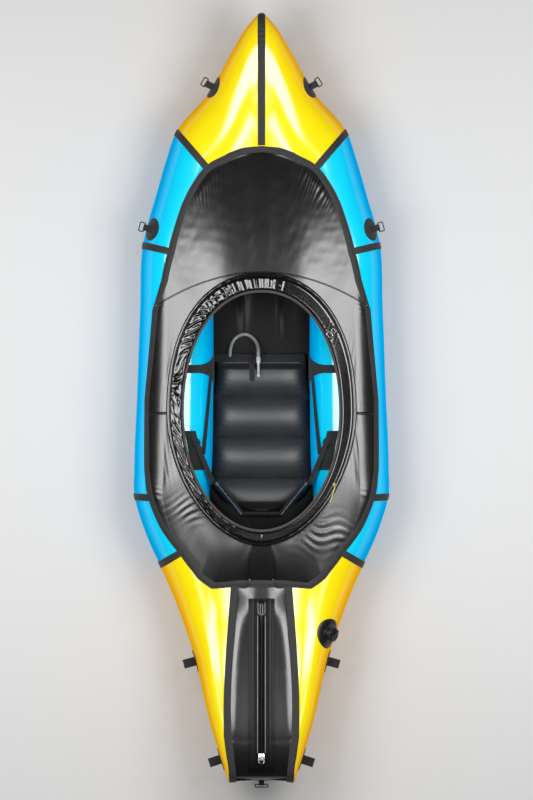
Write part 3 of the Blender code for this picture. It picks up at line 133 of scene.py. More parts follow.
# The cargo zip's ends, its teeth's ends, and its section: distances from the middle and heights in millimetres
ZIP_FRONT, ZIP_REAR, TEETH_FRONT, TEETH_REAR = -0.692, -1.287, -0.772, -1.255
ZIP_LINES = (0, 1.0, 2.8, 3.6, 5.0, 6.4, 8.2, 9.4, 10.6, 14, 20, 26, 30, 31, 34, 38, 42, 44.4, 45)
ZIP_RISE = ((0, 5.2), (1.0, 5.2), (2.8, 4.6), (3.6, 6.0), (5.0, 6.8), (6.4, 6.0), (8.2, 4.2), (9.4, 3.6),
            (10.6, 2.9), (20, 2.9), (30, 2.9), (31, 3.5), (34, 3.5), (42, 2.6), (44.4, 2.4), (45, 1.2))

# The stage: the camera's place, the level that it frames and the length that it sees there
CAMERA_X, CAMERA_Y, SIGHT_LEVEL, SIGHT_LENGTH, SENSOR = 0.0173, 0.0030, 0.2, 2.768, 36
FLOOR_HALF, FLOOR_LEVEL, PANEL_LEVEL = 14, -0.0004, 3.2
# Each pair of light panels: name, distance from the middle, place along, size and share of the brightness
PANELS = (("panel", 1.85, 0.22, (2.4, 1.34), 1.34), ("panel_aft", 0.42, -0.33, (0.40, 0.26), 0.055),
          ("panel_rear", 1.45, -1.00, (0.9, 0.7), 0.07))


# ---- the surfaces that everything reads ----

def lerp(a, b, f):
    """The straight way from a to b: a at 0, b at 1."""
    return a + (b - a) * f


def smooth(low, high, x):
    """0 below low, 1 above high and an S curve between."""
    f = np.clip((x - low) / (high - low), 0, 1)
    return f * f * (3 - 2 * f)


def station_tables():
    """Rows in metres with one mirrored row ahead of the bow, the step lengths and the slopes."""
    half = np.array((HULL_WIDTH / 2, HULL_LENGTH / 2, HULL_WIDTH / 2, HULL_LENGTH / 2, TUBE_HEIGHT))
    rows = STATION_SHARES * half
    rows = np.vstack([rows[1] * (-1, 1, -1, 1, 1), rows])
    d = np.diff(rows, axis=0)
    step = (np.hypot(d[:, 0], d[:, 1]) + np.hypot(d[:, 2], d[:, 3])) / 2
    rate = d / step[:, None]
    slope = (rate[1:] * step[:-1, None] + rate[:-1] * step[1:, None]) / (step[:-1] + step[1:])[:, None]
    slope[CORNER] = rate[CORNER]
    return rows[1:], step[1:], slope


ROWS, STEP, SLOPE = station_tables()
RUN = np.concatenate([[0.0], np.cumsum(STEP)])


def station(s):
    """The ring at station s: a cubic curve through the rows, and straight lines past the corner."""
    k = np.clip(np.floor(s).astype(int), 0, STERN - 1)
    f = (s - k)[..., None]
    last = np.minimum(k + 1, STERN - 1)
    h = STEP[k][..., None]
    cubic = (ROWS[k] * (2 * f**3 - 3 * f**2 + 1) + SLOPE[k] * h * (f**3 - 2 * f**2 + f)
             + ROWS[k + 1] * (3 * f**2 - 2 * f**3) + SLOPE[last] * h * (f**3 - f**2))
    straight = lerp(ROWS[k], ROWS[k + 1], f)
    power = lerp(SQUARENESS[k], SQUARENESS[k + 1], f[..., 0])
    return np.where((k >= CORNER)[..., None], straight, cubic), power


def ramp(f, knee):
    """0 to 1 with a curved start that ends at the knee and a straight line after it."""
    f = np.maximum(f, 0)
    whole = 1 - knee / 2
    return np.where(f < knee, f * f / (2 * knee), f - knee / 2) / whole


def rocker(y):
    """How far the underside has risen at y."""
    half = HULL_LENGTH / 2
    bow = BOW_RISE * ramp((y - BOW_FLAT) / (half - BOW_FLAT), 1.0)
    stern = STERN_RISE * ramp((-y - STERN_FLAT) / (half - STERN_FLAT), STERN_RAMP_SHARE)
    return np.where(y > 0, bow, stern)


def around(t):
    """Station and side of a place t on the closed path, which runs through both the bow and the stern."""
    t = np.mod(np.asarray(t, float) + STERN, 2 * STERN) - STERN
    return np.abs(t), np.where(t < 0, -1.0, 1.0)


def skin(t, angle):
    """The tube's skin: a squared oval in the plane of ring t, raised by the rocker."""
    t, angle = np.broadcast_arrays(np.asarray(t, float), np.asarray(angle, float))
    s, side = around(t)
    row, power = station(s)
    outer, inner = row[..., 0:2], row[..., 2:4]
    reach = np.linalg.norm(outer - inner, axis=-1) / 2
    along = (outer - inner) / (2 * reach)[..., None]
    c, d = np.cos(np.radians(angle)), np.sin(np.radians(angle))
    r = (np.abs(c) ** power + np.abs(d) ** power) ** (-1 / power)
    plan = (outer + inner) / 2 + along * (reach * r * c)[..., None]
    half = row[..., 4] / 2
    z = rocker(plan[..., 1]) + FLOOR_THICKNESS + GAP + half + half * r * d
    return np.stack([side * plan[..., 0], plan[..., 1] + SHIFT, z], axis=-1)


def unit(v):
    """Each vector divided by its length."""
    return v / np.maximum(np.linalg.norm(v, axis=-1, keepdims=True), 1e-12)


def skin_slopes(t, angle):
    """How the skin moves per station and per degree."""
    small = 0.004
    along = (skin(t + small, angle) - skin(t - small, angle)) / (2 * small)
    up = (skin(t, angle + 1) - skin(t, angle - 1)) / 2
    return along, up


def skin_normal(t, angle):
    """The outward normal: across both slopes, turned away from the ring's middle."""
    a, b = skin_slopes(t, angle)
    n = unit(np.cross(a, b))
    middle = (skin(t, angle) + skin(t, angle + 180)) / 2
    away = skin(t, angle) - middle
    return n * np.where(np.sum(n * away, axis=-1) < 0, -1.0, 1.0)[..., None]


def over_skin(t, angle, lift):
    """The skin moved outwards along its normal by the lift."""
    return skin(t, angle) + skin_normal(t, angle) * np.asarray(lift)[..., None]


def walk(t, angle, shift, steps=6):
    """The place reached from t and angle by a vector walked over the skin, in even steps."""
    t, angle = np.asarray(t, float).copy(), np.asarray(angle, float).copy()
    run = path_run(t)
    length = np.linalg.norm(shift, axis=-1)
    heading = unit(shift)
    for _ in range(steps):
        t = path_place(run)
        small = 0.0005
        a = (skin(path_place(run + small), angle) - skin(path_place(run - small), angle)) / (2 * small)
        b = (skin(t, angle + 0.5) - skin(t, angle - 0.5))
        n = unit(np.cross(a, b))
        flat = unit(heading - n * np.sum(n * heading, -1, keepdims=True)) * (length / steps)[..., None]
        aa, ab, bb = np.sum(a * a, -1), np.sum(a * b, -1), np.sum(b * b, -1)
        av, bv = np.sum(a * flat, -1), np.sum(b * flat, -1)
        area = aa * bb - ab * ab
        run = run + (av * bb - bv * ab) / area
        angle = angle + (bv * aa - av * ab) / area
    return path_place(run), angle


def path_run(t):
    """Path length of a place t, counted from the bow and below zero to port."""
    return np.sign(t) * np.interp(np.abs(t), np.arange(STERN + 1), RUN)


def path_place(run):
    """The place t at a path length; past the stern the path goes on up the other side."""
    whole = RUN[-1]
    run = np.mod(run + whole, 2 * whole) - whole
    return np.sign(run) * np.interp(np.abs(run), RUN, np.arange(STERN + 1))


def top_angle(s, share):
    """The angle on the upper side where a share of the way from outer to inner side is passed."""
    power = station(np.asarray(s, float))[1]
    c = 1 - 2 * np.asarray(share)
    d = np.maximum(0.0, 1 - np.abs(c) ** power) ** (1 / power)
    return np.degrees(np.arctan2(d, c))


def deck_angle(s):
    """The angle of the deck's edge at station s, read from its shares."""
    return top_angle(s, np.interp(s, DECK_EDGE_STATIONS, DECK_EDGE_SHARES))


def cargo_angle(s):
    """The angle of the cargo panel's edge at station s; ahead of it the yellow fabric goes all the way round."""
    return np.where(s <= 14, 180.0, top_angle(s, np.interp(s, CARGO_EDGE_STATIONS, CARGO_EDGE_SHARES)))


def oval(turn, width, length, power):
    """A squared oval: each axis takes its sine or cosine to the power 2 / power."""
    s, c = np.sin(np.radians(turn)), np.cos(np.radians(turn))
    return np.stack([np.sign(s) * width * np.abs(s) ** (2 / power),
                     np.sign(c) * length * np.abs(c) ** (2 / power)], axis=-1)


def coaming_plan(turn, share):
    """From above: the way from the opening's squared oval to the rim's, whose powers differ ahead and aft."""
    ahead = np.cos(np.radians(turn)) > 0
    half = OPENING_WIDTH / 2
    inside = oval(turn, half, np.where(ahead, OPENING_FRONT, OPENING_REAR), np.where(ahead, 2.15, 2.0))
    outside = oval(turn, half + LIP_SIDE,
                   np.where(ahead, OPENING_FRONT + LIP_FRONT, OPENING_REAR + LIP_REAR),
                   np.where(ahead, 2.25, 1.85))
    return lerp(inside, outside, np.asarray(share)[..., None]) + (0, COCKPIT_SHIFT + SHIFT)


def coaming_height(turn):
    """The deck's height at the coaming's foot: raised in front for the knees."""
    c = np.cos(np.radians(turn))
    return FLOOR_THICKNESS + GAP + TUBE_HEIGHT + lerp(0.016, np.where(c > 0, 0.045, 0.014), c * c)


def coaming(turn, share, offset=0.0, up=0.0):
    """A point off the oval that share picks: square to it by offset, and up from the deck's height."""
    turn, share = np.broadcast_arrays(np.asarray(turn, float), np.asarray(share, float))
    p = coaming_plan(turn, share)
    q = coaming_plan(turn + 1.5, share) - coaming_plan(turn - 1.5, share)
    out = unit(np.stack([-q[..., 1], q[..., 0]], axis=-1))
    p = p + out * np.asarray(offset)[..., None]
    return np.concatenate([p, (coaming_height(turn) + up)[..., None]], axis=-1)


def deck_turn(s, side):
    """The coaming's turn that faces the deck's edge at station s."""
    p = skin(s, deck_angle(s))
    along = p[..., 1] - SHIFT - COCKPIT_SHIFT
    length = np.where(along > 0, OPENING_FRONT + LIP_FRONT, OPENING_REAR + LIP_REAR)
    return side * np.degrees(np.arctan2(p[..., 0] / (OPENING_WIDTH / 2 + LIP_SIDE), along / length))


def deck_surface(t, row):
    """Rows 0 to 1 lie on the tube from the deck's edge inwards; rows 1 to 2 span to the coaming's foot."""
    t, row = np.broadcast_arrays(np.asarray(t, float), np.asarray(row, float))
    s, side = around(t)
    low = deck_angle(s)
    leave = np.maximum(77.0, low + lerp(2.0, 1.2, smooth(17.1, 17.9, s)))
    on_tube = over_skin(t, lerp(low, leave, np.minimum(row, 1)), DECK_LIFT + FABRIC + 0 * s)
    f = np.clip(row - 1, 0, 1)
    out = BINDING_DIAMETER + GAP + COAMING_SHEET + 0.0014
    foot = coaming(deck_turn(s, side), 0.0, out, FABRIC)
    span = np.linalg.norm(foot - on_tube, axis=-1)
    slack = lerp(0.05, 1.0, smooth(1.2, 2.4, np.abs(s - 7.9)))
    crown = DECK_CROWN * slack * 4 * f * (1 - f) * np.minimum(1.0, span / LIP_SIDE / 4)
    p = lerp(on_tube, foot, f[..., None])
    p[..., 2] += crown
    return p


def settle(p, reach, weight, closed=False):
    """Heights averaged along the first direction of a grid with a bell curve of the given reach."""
    step = np.linalg.norm(np.diff(p, axis=0), axis=-1).mean()
    half = int(np.ceil(3 * reach / step))
    bell = np.exp(-(np.arange(-half, half + 1) * step / reach) ** 2 / 2)
    z = np.pad(p[..., 2], ((half, half), (0, 0)), mode="wrap" if closed else "edge")
    windows = np.lib.stride_tricks.sliding_window_view(z, 2 * half + 1, axis=0)
    flat = p.copy()
    flat[..., 2] = lerp(p[..., 2], windows @ (bell / bell.sum()), weight)
    return flat


def ease_bed(p):
    """The heights over the cargo zip's flat bed, averaged so that cloth and tape bend over its two edges."""
    over_bed = smooth(0.115, 0.080, np.abs(p[..., 0])) * smooth(-0.50, -0.56, p[..., 1])
    return settle(p, 0.015, over_bed, closed=True)


def wave_sum(p, pitch, seed):
    """Smooth unevenness from -1 to 1: a sum of sine waves in set directions."""
    count = 7
    k = np.arange(1, count + 1)
    spin = 2.399963 * (k + seed)
    tilt = np.arccos(1 - 2 * ((k * 0.618 + seed * 0.37) % 1))
    d = np.stack([np.cos(spin) * np.sin(tilt), np.sin(spin) * np.sin(tilt), np.cos(tilt)], -1)
    rate = 2 * np.pi / (pitch * (0.62 + 0.76 * ((k * 0.73 + seed * 0.19) % 1)))
    return np.sin(np.einsum("...i,ki->...k", p, d) * rate + k * 1.7 + seed).sum(-1) / math.sqrt(count) / 1.5


def crease(x):
    """A sharp ridge at each whole number, 1 on the ridge and 0 between."""
    return 1 - np.abs(np.sin(np.pi * x))


# ---- meshes ----

def distances(p, axis):
    """Mean path length along one side of a grid."""
    d = np.linalg.norm(np.diff(p, axis=axis), axis=-1).mean(axis=1 - axis)
    return np.concatenate([[0.0], np.cumsum(d)])


class Build:
    """Collects grids and turns them into one mesh."""

    def __init__(self):
        """Nothing collected yet."""
        self.points, self.faces, self.uvs, self.tones, self.count = [], [], [], [], 0

    def grid(self, p, close_u=False, close_v=False, flip=False, tone=0.0):
        """Quads over a grid of points (u, v); either way round may close on itself."""
        nu, nv = p.shape[:2]
        full = np.concatenate([p, p[:1]], 0) if close_u else p
        full = np.concatenate([full, full[:, :1]], 1) if close_v else full
        u, v = distances(full, 0), distances(full, 1)
        i, j = np.meshgrid(np.arange(full.shape[0] - 1), np.arange(full.shape[1] - 1), indexing="ij")
        corners = ((0, 0), (1, 0), (1, 1), (0, 1))
        corners = corners[::-1] if flip else corners
        index = np.stack([((i + a) % nu) * nv + (j + b) % nv for a, b in corners], -1).reshape(-1, 4)
        uv = np.stack([np.stack([u[i + a], v[j + b]], -1) for a, b in corners], 2).reshape(-1, 4, 2)
        self.points.append(p.reshape(-1, 3))
        self.faces.append(index + self.count)
        self.uvs.append(uv)
        self.tones.append(np.broadcast_to(tone, (nu, nv)).ravel())
        self.count += nu * nv
        return self

    def tube(self, path, radius, sides, closed=False, normal=(0, 0, 1)):
        """A round section carried along a path, square to it; open ends close to a point."""
        path = np.asarray(path, float)
        if closed:
            run = np.roll(path, -1, 0) - np.roll(path, 1, 0)
        else:
            run = np.gradient(path, axis=0)
        run = unit(run)
        side = unit(np.cross(run, np.asarray(normal, float)))
        up = np.cross(side, run)
        turn = np.linspace(0, 2 * np.pi, sides, endpoint=False)
        r = np.broadcast_to(np.asarray(radius, float), (len(path),))
        ring = side[:, None] * np.cos(turn)[None, :, None] + up[:, None] * np.sin(turn)[None, :, None]
        p = path[:, None] + ring * r[:, None, None]
        if not closed:
            p = np.concatenate([np.repeat(path[:1, None], sides, 1), p, np.repeat(path[-1:, None], sides, 1)], 0)
        return self.grid(p, close_u=closed, close_v=True)

    def turned(self, profile, matrix, steps=32, wobble=None):
        """A profile of (radius, height) pairs turned round the matrix's Z axis."""
        profile = np.asarray(profile, float)
        turn = np.linspace(0, 2 * np.pi, steps, endpoint=False)
        r = profile[:, 0][:, None] * (np.ones(steps) if wobble is None else wobble(turn))
        p = np.stack([r * np.cos(turn), r * np.sin(turn), np.repeat(profile[:, 1:], steps, 1)], -1)
        return self.grid(place_points(p, matrix), close_v=True)

    def block(self, size, matrix, power):
        """A rounded block: a squared ball stretched to the size."""
        rings = 14
        a = np.radians(np.linspace(-90, 90, rings))
        b = np.radians(np.linspace(0, 360, 2 * rings, endpoint=False))
        ca, sa = np.cos(a)[:, None], np.sin(a)[:, None]
        e = 2 / power
        sign = lambda x: np.sign(x) * np.abs(x) ** e
        p = np.stack([sign(ca) * sign(np.cos(b)), sign(ca) * sign(np.sin(b)), sign(sa) * np.ones_like(b)], -1)
        return self.grid(place_points(p * np.asarray(size) / 2, matrix), close_v=True)

    def finish(self, name, material, body="hull", slot=None, replaces=(), solid=0.0):
        """The collected grids as one object that rides on a body: welded, or given a wall on its inner side.
        Its slot, or its material's without one, is worked out but never given to the object."""
        mesh = bpy.data.meshes.new(name)
        points, faces = np.concatenate(self.points), np.concatenate(self.faces)
        mesh.vertices.add(len(points))
        mesh.vertices.foreach_set("co", points.astype(np.float32).ravel())
        mesh.loops.add(faces.size)
        mesh.loops.foreach_set("vertex_index", faces.astype(np.int32).ravel())
        mesh.polygons.add(len(faces))
        mesh.polygons.foreach_set("loop_start", np.arange(len(faces), dtype=np.int32) * 4)
        mesh.update(calc_edges=True)
        layer = mesh.uv_layers.new(name="UVMap")
        layer.data.foreach_set("uv", np.concatenate(self.uvs).astype(np.float32).ravel())
        # How low each point faces: the share of painted shade that its finish mixes in.
        tone = mesh.attributes.new("tone", "FLOAT", "POINT")
        tone.data.foreach_set("value", np.concatenate(self.tones).astype(np.float32))
        mesh.validate()
        if not solid:
            bm = bmesh.new()
            bm.from_mesh(mesh)
            bmesh.ops.remove_doubles(bm, verts=bm.verts, dist=1e-6)
            bmesh.ops.recalc_face_normals(bm, faces=bm.faces)
            bm.to_mesh(mesh)
            bm.free()
        piece = bpy.data.objects.new(name, mesh)
        bpy.context.scene.collection.objects.link(piece)
        mesh.materials.append(bpy.data.materials[material + "_finish"])
        mesh.shade_smooth()
        mesh.set_sharp_from_angle(angle=math.radians(50))
        if solid:
            wall = piece.modifiers.new("wall", "SOLIDIFY")
            wall.thickness, wall.offset, wall.use_even_offset = solid, -1.0, False
        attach(piece, body)
        slot = slot or MATERIAL_SLOTS.get(material, material)
        if replaces:
            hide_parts(*replaces)
        return piece


def capped(ring):
    """A closed-round grid with both ends drawn in to a point."""
    ends = [np.repeat(ring[i:i + 1].mean(1, keepdims=True), ring.shape[1], 1) for i in (0, len(ring) - 1)]
    return np.concatenate([ends[0], ring, ends[1]], 0)


def place_points(p, matrix):
    """Points turned and moved by a matrix, as one product."""
    m = np.array(matrix)
    return p @ m[:3, :3].T + m[:3, 3]


def skin_frame(t, angle, lift=0.0):
    """A matrix on the skin: X along the boat, Y round the tube upwards, Z outwards."""
    t, angle = np.float64(t), np.float64(angle)
    n = skin_normal(t, angle)
    y = unit(skin(t, angle + 1) - skin(t, angle - 1))
    x = np.cross(y, n)
    m = Matrix(np.stack([x, y, n]).tolist()).transposed().to_4x4()
    return Matrix.Translation(Vector((skin(t, angle) + n * lift).tolist())) @ m


# ---- materials ----

class Nodes:
    """A few words for wiring a node tree."""

    def __init__(self, tree):
        """Keeps the tree that the other words work on."""
        self.tree = tree

    def feed(self, socket, value):
        """Links a socket to the one given, or sets its own value."""
        if isinstance(value, bpy.types.NodeSocket):
            self.tree.links.new(value, socket)
        else:
            socket.default_value = value

    def add(self, kind, inputs=None, **settings):
        """A node with its settings made and its inputs fed."""
        node = self.tree.nodes.new(kind)
        for key, value in settings.items():
            setattr(node, key, value)
        for key, value in (inputs or {}).items():
            self.feed(node.inputs[key], value)
        return node

    def math(self, op, a, b, clamp=False):
        """The result of a sum on two values, held between 0 and 1 if clamped."""
        node = self.add("ShaderNodeMath", operation=op, use_clamp=clamp)
        for socket, value in zip(node.inputs, (a, b)):
            self.feed(socket, value)
        return node.outputs[0]

    def mix(self, factor, a, b):
        """Colour a at 0, colour b at 1."""
        node = self.add("ShaderNodeMix", data_type="RGBA")
        for name, value in (("Factor_Float", factor), ("A_Color", a), ("B_Color", b)):
            self.feed(next(s for s in node.inputs if s.identifier == name), value)
        return next(s for s in node.outputs if s.identifier == "Result_Color")

    def use(self, name, **inputs):
        """The outputs of one of the shared groups."""
        return self.add("ShaderNodeGroup", inputs, node_tree=bpy.data.node_groups[name]).outputs


def group(name, inputs, outputs):
    """A new shader node group with named sockets: its nodes, its inputs and its outputs."""
    tree = bpy.data.node_groups.new(name, "ShaderNodeTree")
    for title, kind, value in inputs:
        socket = tree.interface.new_socket(title, in_out="INPUT", socket_type=kind)
        if value is not None:
            socket.default_value = value
    for title, kind in outputs:
        tree.interface.new_socket(title, in_out="OUTPUT", socket_type=kind)
    n = Nodes(tree)
    return n, n.add("NodeGroupInput").outputs, n.add("NodeGroupOutput").inputs


def build_groups():
    """Coating mottle, cloth grain, webbing ribs and rubbed wear, shared by the finishes."""
    if "coating_mottle" in bpy.data.node_groups:
        return
    number, vector = "NodeSocketFloat", "NodeSocketVector"
    n, put, out = group("coating_mottle", [("Vector", vector, None), ("Size", number, 9.0)], [("Mask", number)])
    broad = n.add("ShaderNodeTexNoise", {"Vector": put["Vector"], "Scale": put["Size"], "Detail": 3.0,
                                         "Roughness": 0.55})
    fine = n.add("ShaderNodeTexNoise", {"Vector": put["Vector"], "Scale": n.math("MULTIPLY", put["Size"], 9.0),
                                        "Detail": 2.0})
    both = n.math("ADD", n.math("MULTIPLY", broad.outputs[0], 0.72), n.math("MULTIPLY", fine.outputs[0], 0.28))
    n.tree.links.new(n.math("MULTIPLY", n.math("SUBTRACT", both, 0.32), 2.6, True), out["Mask"])

    n, put, out = group("cloth_grain", [("Vector", vector, None), ("Threads", number, 700.0)],
                        [("Height", number)])
    warp = n.add("ShaderNodeTexWave", {"Vector": put["Vector"], "Scale": put["Threads"], "Distortion": 0.6,
                                       "Detail": 1.0}, bands_direction="X")
    weft = n.add("ShaderNodeTexWave", {"Vector": put["Vector"], "Scale": put["Threads"], "Distortion": 0.6,
                                       "Detail": 1.0}, bands_direction="Y")
    speck = n.add("ShaderNodeTexNoise", {"Vector": put["Vector"], "Scale": put["Threads"], "Detail": 2.0})
    weave = n.math("MAXIMUM", warp.outputs["Fac"], weft.outputs["Fac"])
    n.tree.links.new(n.math("ADD", n.math("MULTIPLY", weave, 0.5), n.math("MULTIPLY", speck.outputs[0], 0.5)),
                     out["Height"])

    n, put, out = group("webbing_ribs", [("Vector", vector, None), ("Pitch", number, 700.0)],
                        [("Height", number), ("Edge", number)])
    rows = n.add("ShaderNodeTexWave", {"Vector": put["Vector"], "Scale": put["Pitch"], "Distortion": 0.3},
                 bands_direction="X")
    cross = n.add("ShaderNodeTexWave", {"Vector": put["Vector"], "Scale": n.math("MULTIPLY", put["Pitch"], 0.45),
                                        "Distortion": 0.5}, bands_direction="Y")
    ribs = n.math("ADD", n.math("MULTIPLY", rows.outputs["Fac"], 0.65), n.math("MULTIPLY", cross.outputs["Fac"], 0.35))
    n.tree.links.new(ribs, out["Height"])
    n.tree.links.new(n.math("GREATER_THAN", ribs, 0.55), out["Edge"])

    n, put, out = group("rubbed_wear", [("Vector", vector, None), ("Size", number, 30.0), ("Amount", number, 0.4)],
                        [("Mask", number)])
    spots = n.add("ShaderNodeTexNoise", {"Vector": put["Vector"], "Scale": put["Size"], "Detail": 5.0,
                                         "Roughness": 0.7})
    lines = n.add("ShaderNodeTexNoise", {"Vector": n.add("ShaderNodeMapping", {
        "Vector": put["Vector"], "Scale": (1.0, 0.12, 1.0)}).outputs[0], "Scale": n.math(
            "MULTIPLY", put["Size"], 3.0), "Detail": 3.0})
    worn = n.math("MULTIPLY", spots.outputs[0], lines.outputs[0])
    n.tree.links.new(n.math("MULTIPLY", n.math("SUBTRACT", worn, n.math("SUBTRACT", 0.40, n.math(
        "MULTIPLY", put["Amount"], 0.2))), 4.0, True), out["Mask"])


def finish_of(name, light, dark, rough, threads, bump, grain="cloth_grain", mottle=9.0, wear=0.3, coat=0.0,
              coat_rough=0.1, coat_ior=1.5, metallic=0.0, sheen=0.0, uv=False, edge=None, uneven=0.0,
              uneven_size=14.0, specular=0.5, transmission=0.0):
    """One finish: two colours mixed by mottle, rubbed wear, changing roughness, and a grain that lifts it. A colour of
    painted shade, the edge colour, takes over, and the coat fades, where the mesh's attribute says that the skin faces
    low."""
    material = bpy.data.materials.new(name + "_finish")
    material.use_nodes = True
    material.node_tree.nodes.clear()
    n = Nodes(material.node_tree)
    spot = n.add("ShaderNodeTexCoord")
    vector = spot.outputs["UV"] if uv else spot.outputs["Object"]
    place = spot.outputs["Object"]
    mask = n.use("coating_mottle", Vector=place, Size=mottle)["Mask"]
    worn = n.use("rubbed_wear", Vector=place, Size=mottle * 3, Amount=wear)["Mask"]
    colour = n.mix(mask, (*dark, 1), (*light, 1))
    # Painted shade: where the skin faces low, the colour turns into the given edge colour instead of being left to
    # real shade.
    if edge is not None:
        tone = n.add("ShaderNodeAttribute", attribute_name="tone").outputs["Fac"]
        colour = n.mix(tone, colour, (*edge, 1))
    rubbed = tuple(min(1.0, c * 1.5 + 0.02) for c in light)
    colour = n.mix(n.math("MULTIPLY", worn, wear * 0.35), colour, (*rubbed, 1))
    roughness = n.math("ADD", n.math("MULTIPLY", mask, rough[1] - rough[0]), rough[0])
    roughness = n.math("ADD", roughness, n.math("MULTIPLY", worn, wear * 0.12), True)
    key = "Pitch" if grain == "webbing_ribs" else "Threads"
    height = n.use(grain, Vector=vector, **{key: threads})["Height"]
    lifted = n.add("ShaderNodeBump", {"Height": height, "Strength": 0.5, "Distance": bump}).outputs[0]
    if uneven:
        wide = n.add("ShaderNodeTexNoise", {"Vector": place, "Scale": uneven_size, "Detail": 4.0,
                                            "Roughness": 0.5})
        lifted = n.add("ShaderNodeBump", {"Height": wide.outputs[0], "Strength": 1.0, "Distance": uneven,
                                          "Normal": lifted}).outputs[0]
    gloss = coat
    if edge is not None:
        gloss = n.math("MULTIPLY", n.math("SUBTRACT", 1.0, tone, True), coat)
    shader = n.add("ShaderNodeBsdfPrincipled", {
        "Base Color": colour, "Roughness": roughness, "Normal": lifted, "Metallic": metallic,
        "Coat Weight": gloss, "Coat Roughness": coat_rough, "Sheen Weight": sheen, "Specular IOR Level": specular,
        "Transmission Weight": transmission, "IOR": 1.45, "Coat IOR": coat_ior})
    n.add("ShaderNodeOutputMaterial", {"Surface": shader.outputs[0]})
    return material


def build_finishes(context):
    """Every finish of the boat, from the colours in the settings."""
    hull, deck, seat = context.scene.packraft_hull, context.scene.packraft_deck, context.scene.packraft_seat
    build_groups()
    yellow, cyan, tape = tuple(hull.yellow), tuple(hull.cyan), tuple(hull.tape)
    black, satin = tuple(deck.black), tuple(seat.satin)
    shade = lambda colour, f: tuple(c * f for c in colour)
    # Each coloured fabric gets a second colour of painted shade, used where its skin faces low.
    for name, colour, darker, edge in (("yellow_fabric", yellow, 0.94, hull.yellow_in_shade),
                                       ("cyan_fabric", cyan, 0.95, hull.cyan_in_shade)):
        finish_of(name, colour, shade(colour, darker), (0.26, 0.34), threads=900, bump=0.00015, wear=0.15,
                  coat=0.9, coat_rough=0.14, coat_ior=2.0, specular=0.0, edge=tuple(edge), uneven=0.0015,
                  uneven_size=7.0)
    finish_of("seam_tape", tape, shade(tape, 0.8), (0.45, 0.6), threads=1100, bump=0.0003, mottle=25, wear=0.4,
              uneven=0.0012, uneven_size=40, specular=0.2)
    finish_of("deck_fabric", black, shade(black, 0.7), (0.30, 0.38), threads=900, bump=0.00012, wear=0.2,
              coat=1.0, coat_rough=0.25, coat_ior=1.75, uneven=0.003, uneven_size=16, specular=0.1)
    finish_of("cargo_fabric", black, shade(black, 0.7), (0.24, 0.32), threads=900, bump=0.0001, wear=0.2,
              coat=0.9, coat_rough=0.16, coat_ior=1.7, uneven=0.0006, uneven_size=5, specular=0.1)
    finish_of("sleeve_fabric", shade(black, 0.9), shade(black, 0.5), (0.12, 0.2), threads=900, bump=0.0001,
              coat=1.0, coat_rough=0.06, coat_ior=1.65, uneven=0.0002, uneven_size=30, specular=0.15)
    finish_of("binding", (0.085, 0.066, 0.05), (0.045, 0.037, 0.03), (0.55, 0.7), grain="webbing_ribs",
              threads=420, bump=0.0006, mottle=30, wear=0.5, uv=True, sheen=0.2)
    finish_of("seat_fabric", satin, shade(satin, 0.75), (0.42, 0.52), threads=520, bump=0.0002, mottle=14,
              wear=0.25, uneven=0.0012, uneven_size=28, coat=0.6, coat_rough=0.40, coat_ior=1.8, specular=0.3)
    finish_of("webbing", (0.022, 0.022, 0.024), (0.010, 0.010, 0.011), (0.6, 0.75), grain="webbing_ribs",
              threads=330, bump=0.0009, mottle=40, wear=0.5, uv=True, sheen=0.1)
    finish_of("floor_fabric", (0.006, 0.0063, 0.0068), (0.003, 0.003, 0.0033), (0.33, 0.42), threads=600,
              bump=0.0002, wear=0.3, coat=0.12, coat_rough=0.18, uneven=0.002, uneven_size=9, specular=0.1)
    finish_of("hard_plastic", (0.012, 0.012, 0.013), (0.007, 0.007, 0.008), (0.28, 0.38), threads=260, bump=0.0001,
              mottle=60, wear=0.3, specular=0.6)
    finish_of("ring_plastic", (0.020, 0.021, 0.022), (0.011, 0.011, 0.012), (0.25, 0.35), threads=260,
              bump=0.0001, mottle=60, wear=0.3, specular=0.35, coat=0.25, coat_rough=0.15)
    finish_of("hose_plastic", (0.30, 0.31, 0.32), (0.20, 0.21, 0.22), (0.22, 0.3), threads=300, bump=0.0001,
              mottle=50, wear=0.1, coat=0.5, coat_rough=0.1)
    finish_of("clear_plastic", (0.72, 0.74, 0.75), (0.6, 0.62, 0.63), (0.08, 0.14), threads=300, bump=0.0001,
              mottle=60, wear=0.1, coat=0.6, coat_rough=0.05, transmission=0.35)
    finish_of("steel", (0.72, 0.72, 0.73), (0.55, 0.55, 0.56), (0.2, 0.32), threads=900, bump=0.0001, mottle=90,
              wear=0.2, metallic=1.0)
    finish_of("cord_yellow", (0.75, 0.68, 0.22), (0.55, 0.5, 0.12), (0.6, 0.75), grain="webbing_ribs",
              threads=900, bump=0.0005, mottle=60, wear=0.3, uv=True)
    finish_of("zip_tape", (0.005, 0.0052, 0.0056), (0.003, 0.0032, 0.0035), (0.34, 0.45), grain="webbing_ribs",
              threads=500, bump=0.0001, mottle=40, wear=0.3, uv=True, specular=0.1, coat=0.15, coat_rough=0.2)


# ---- settings ----

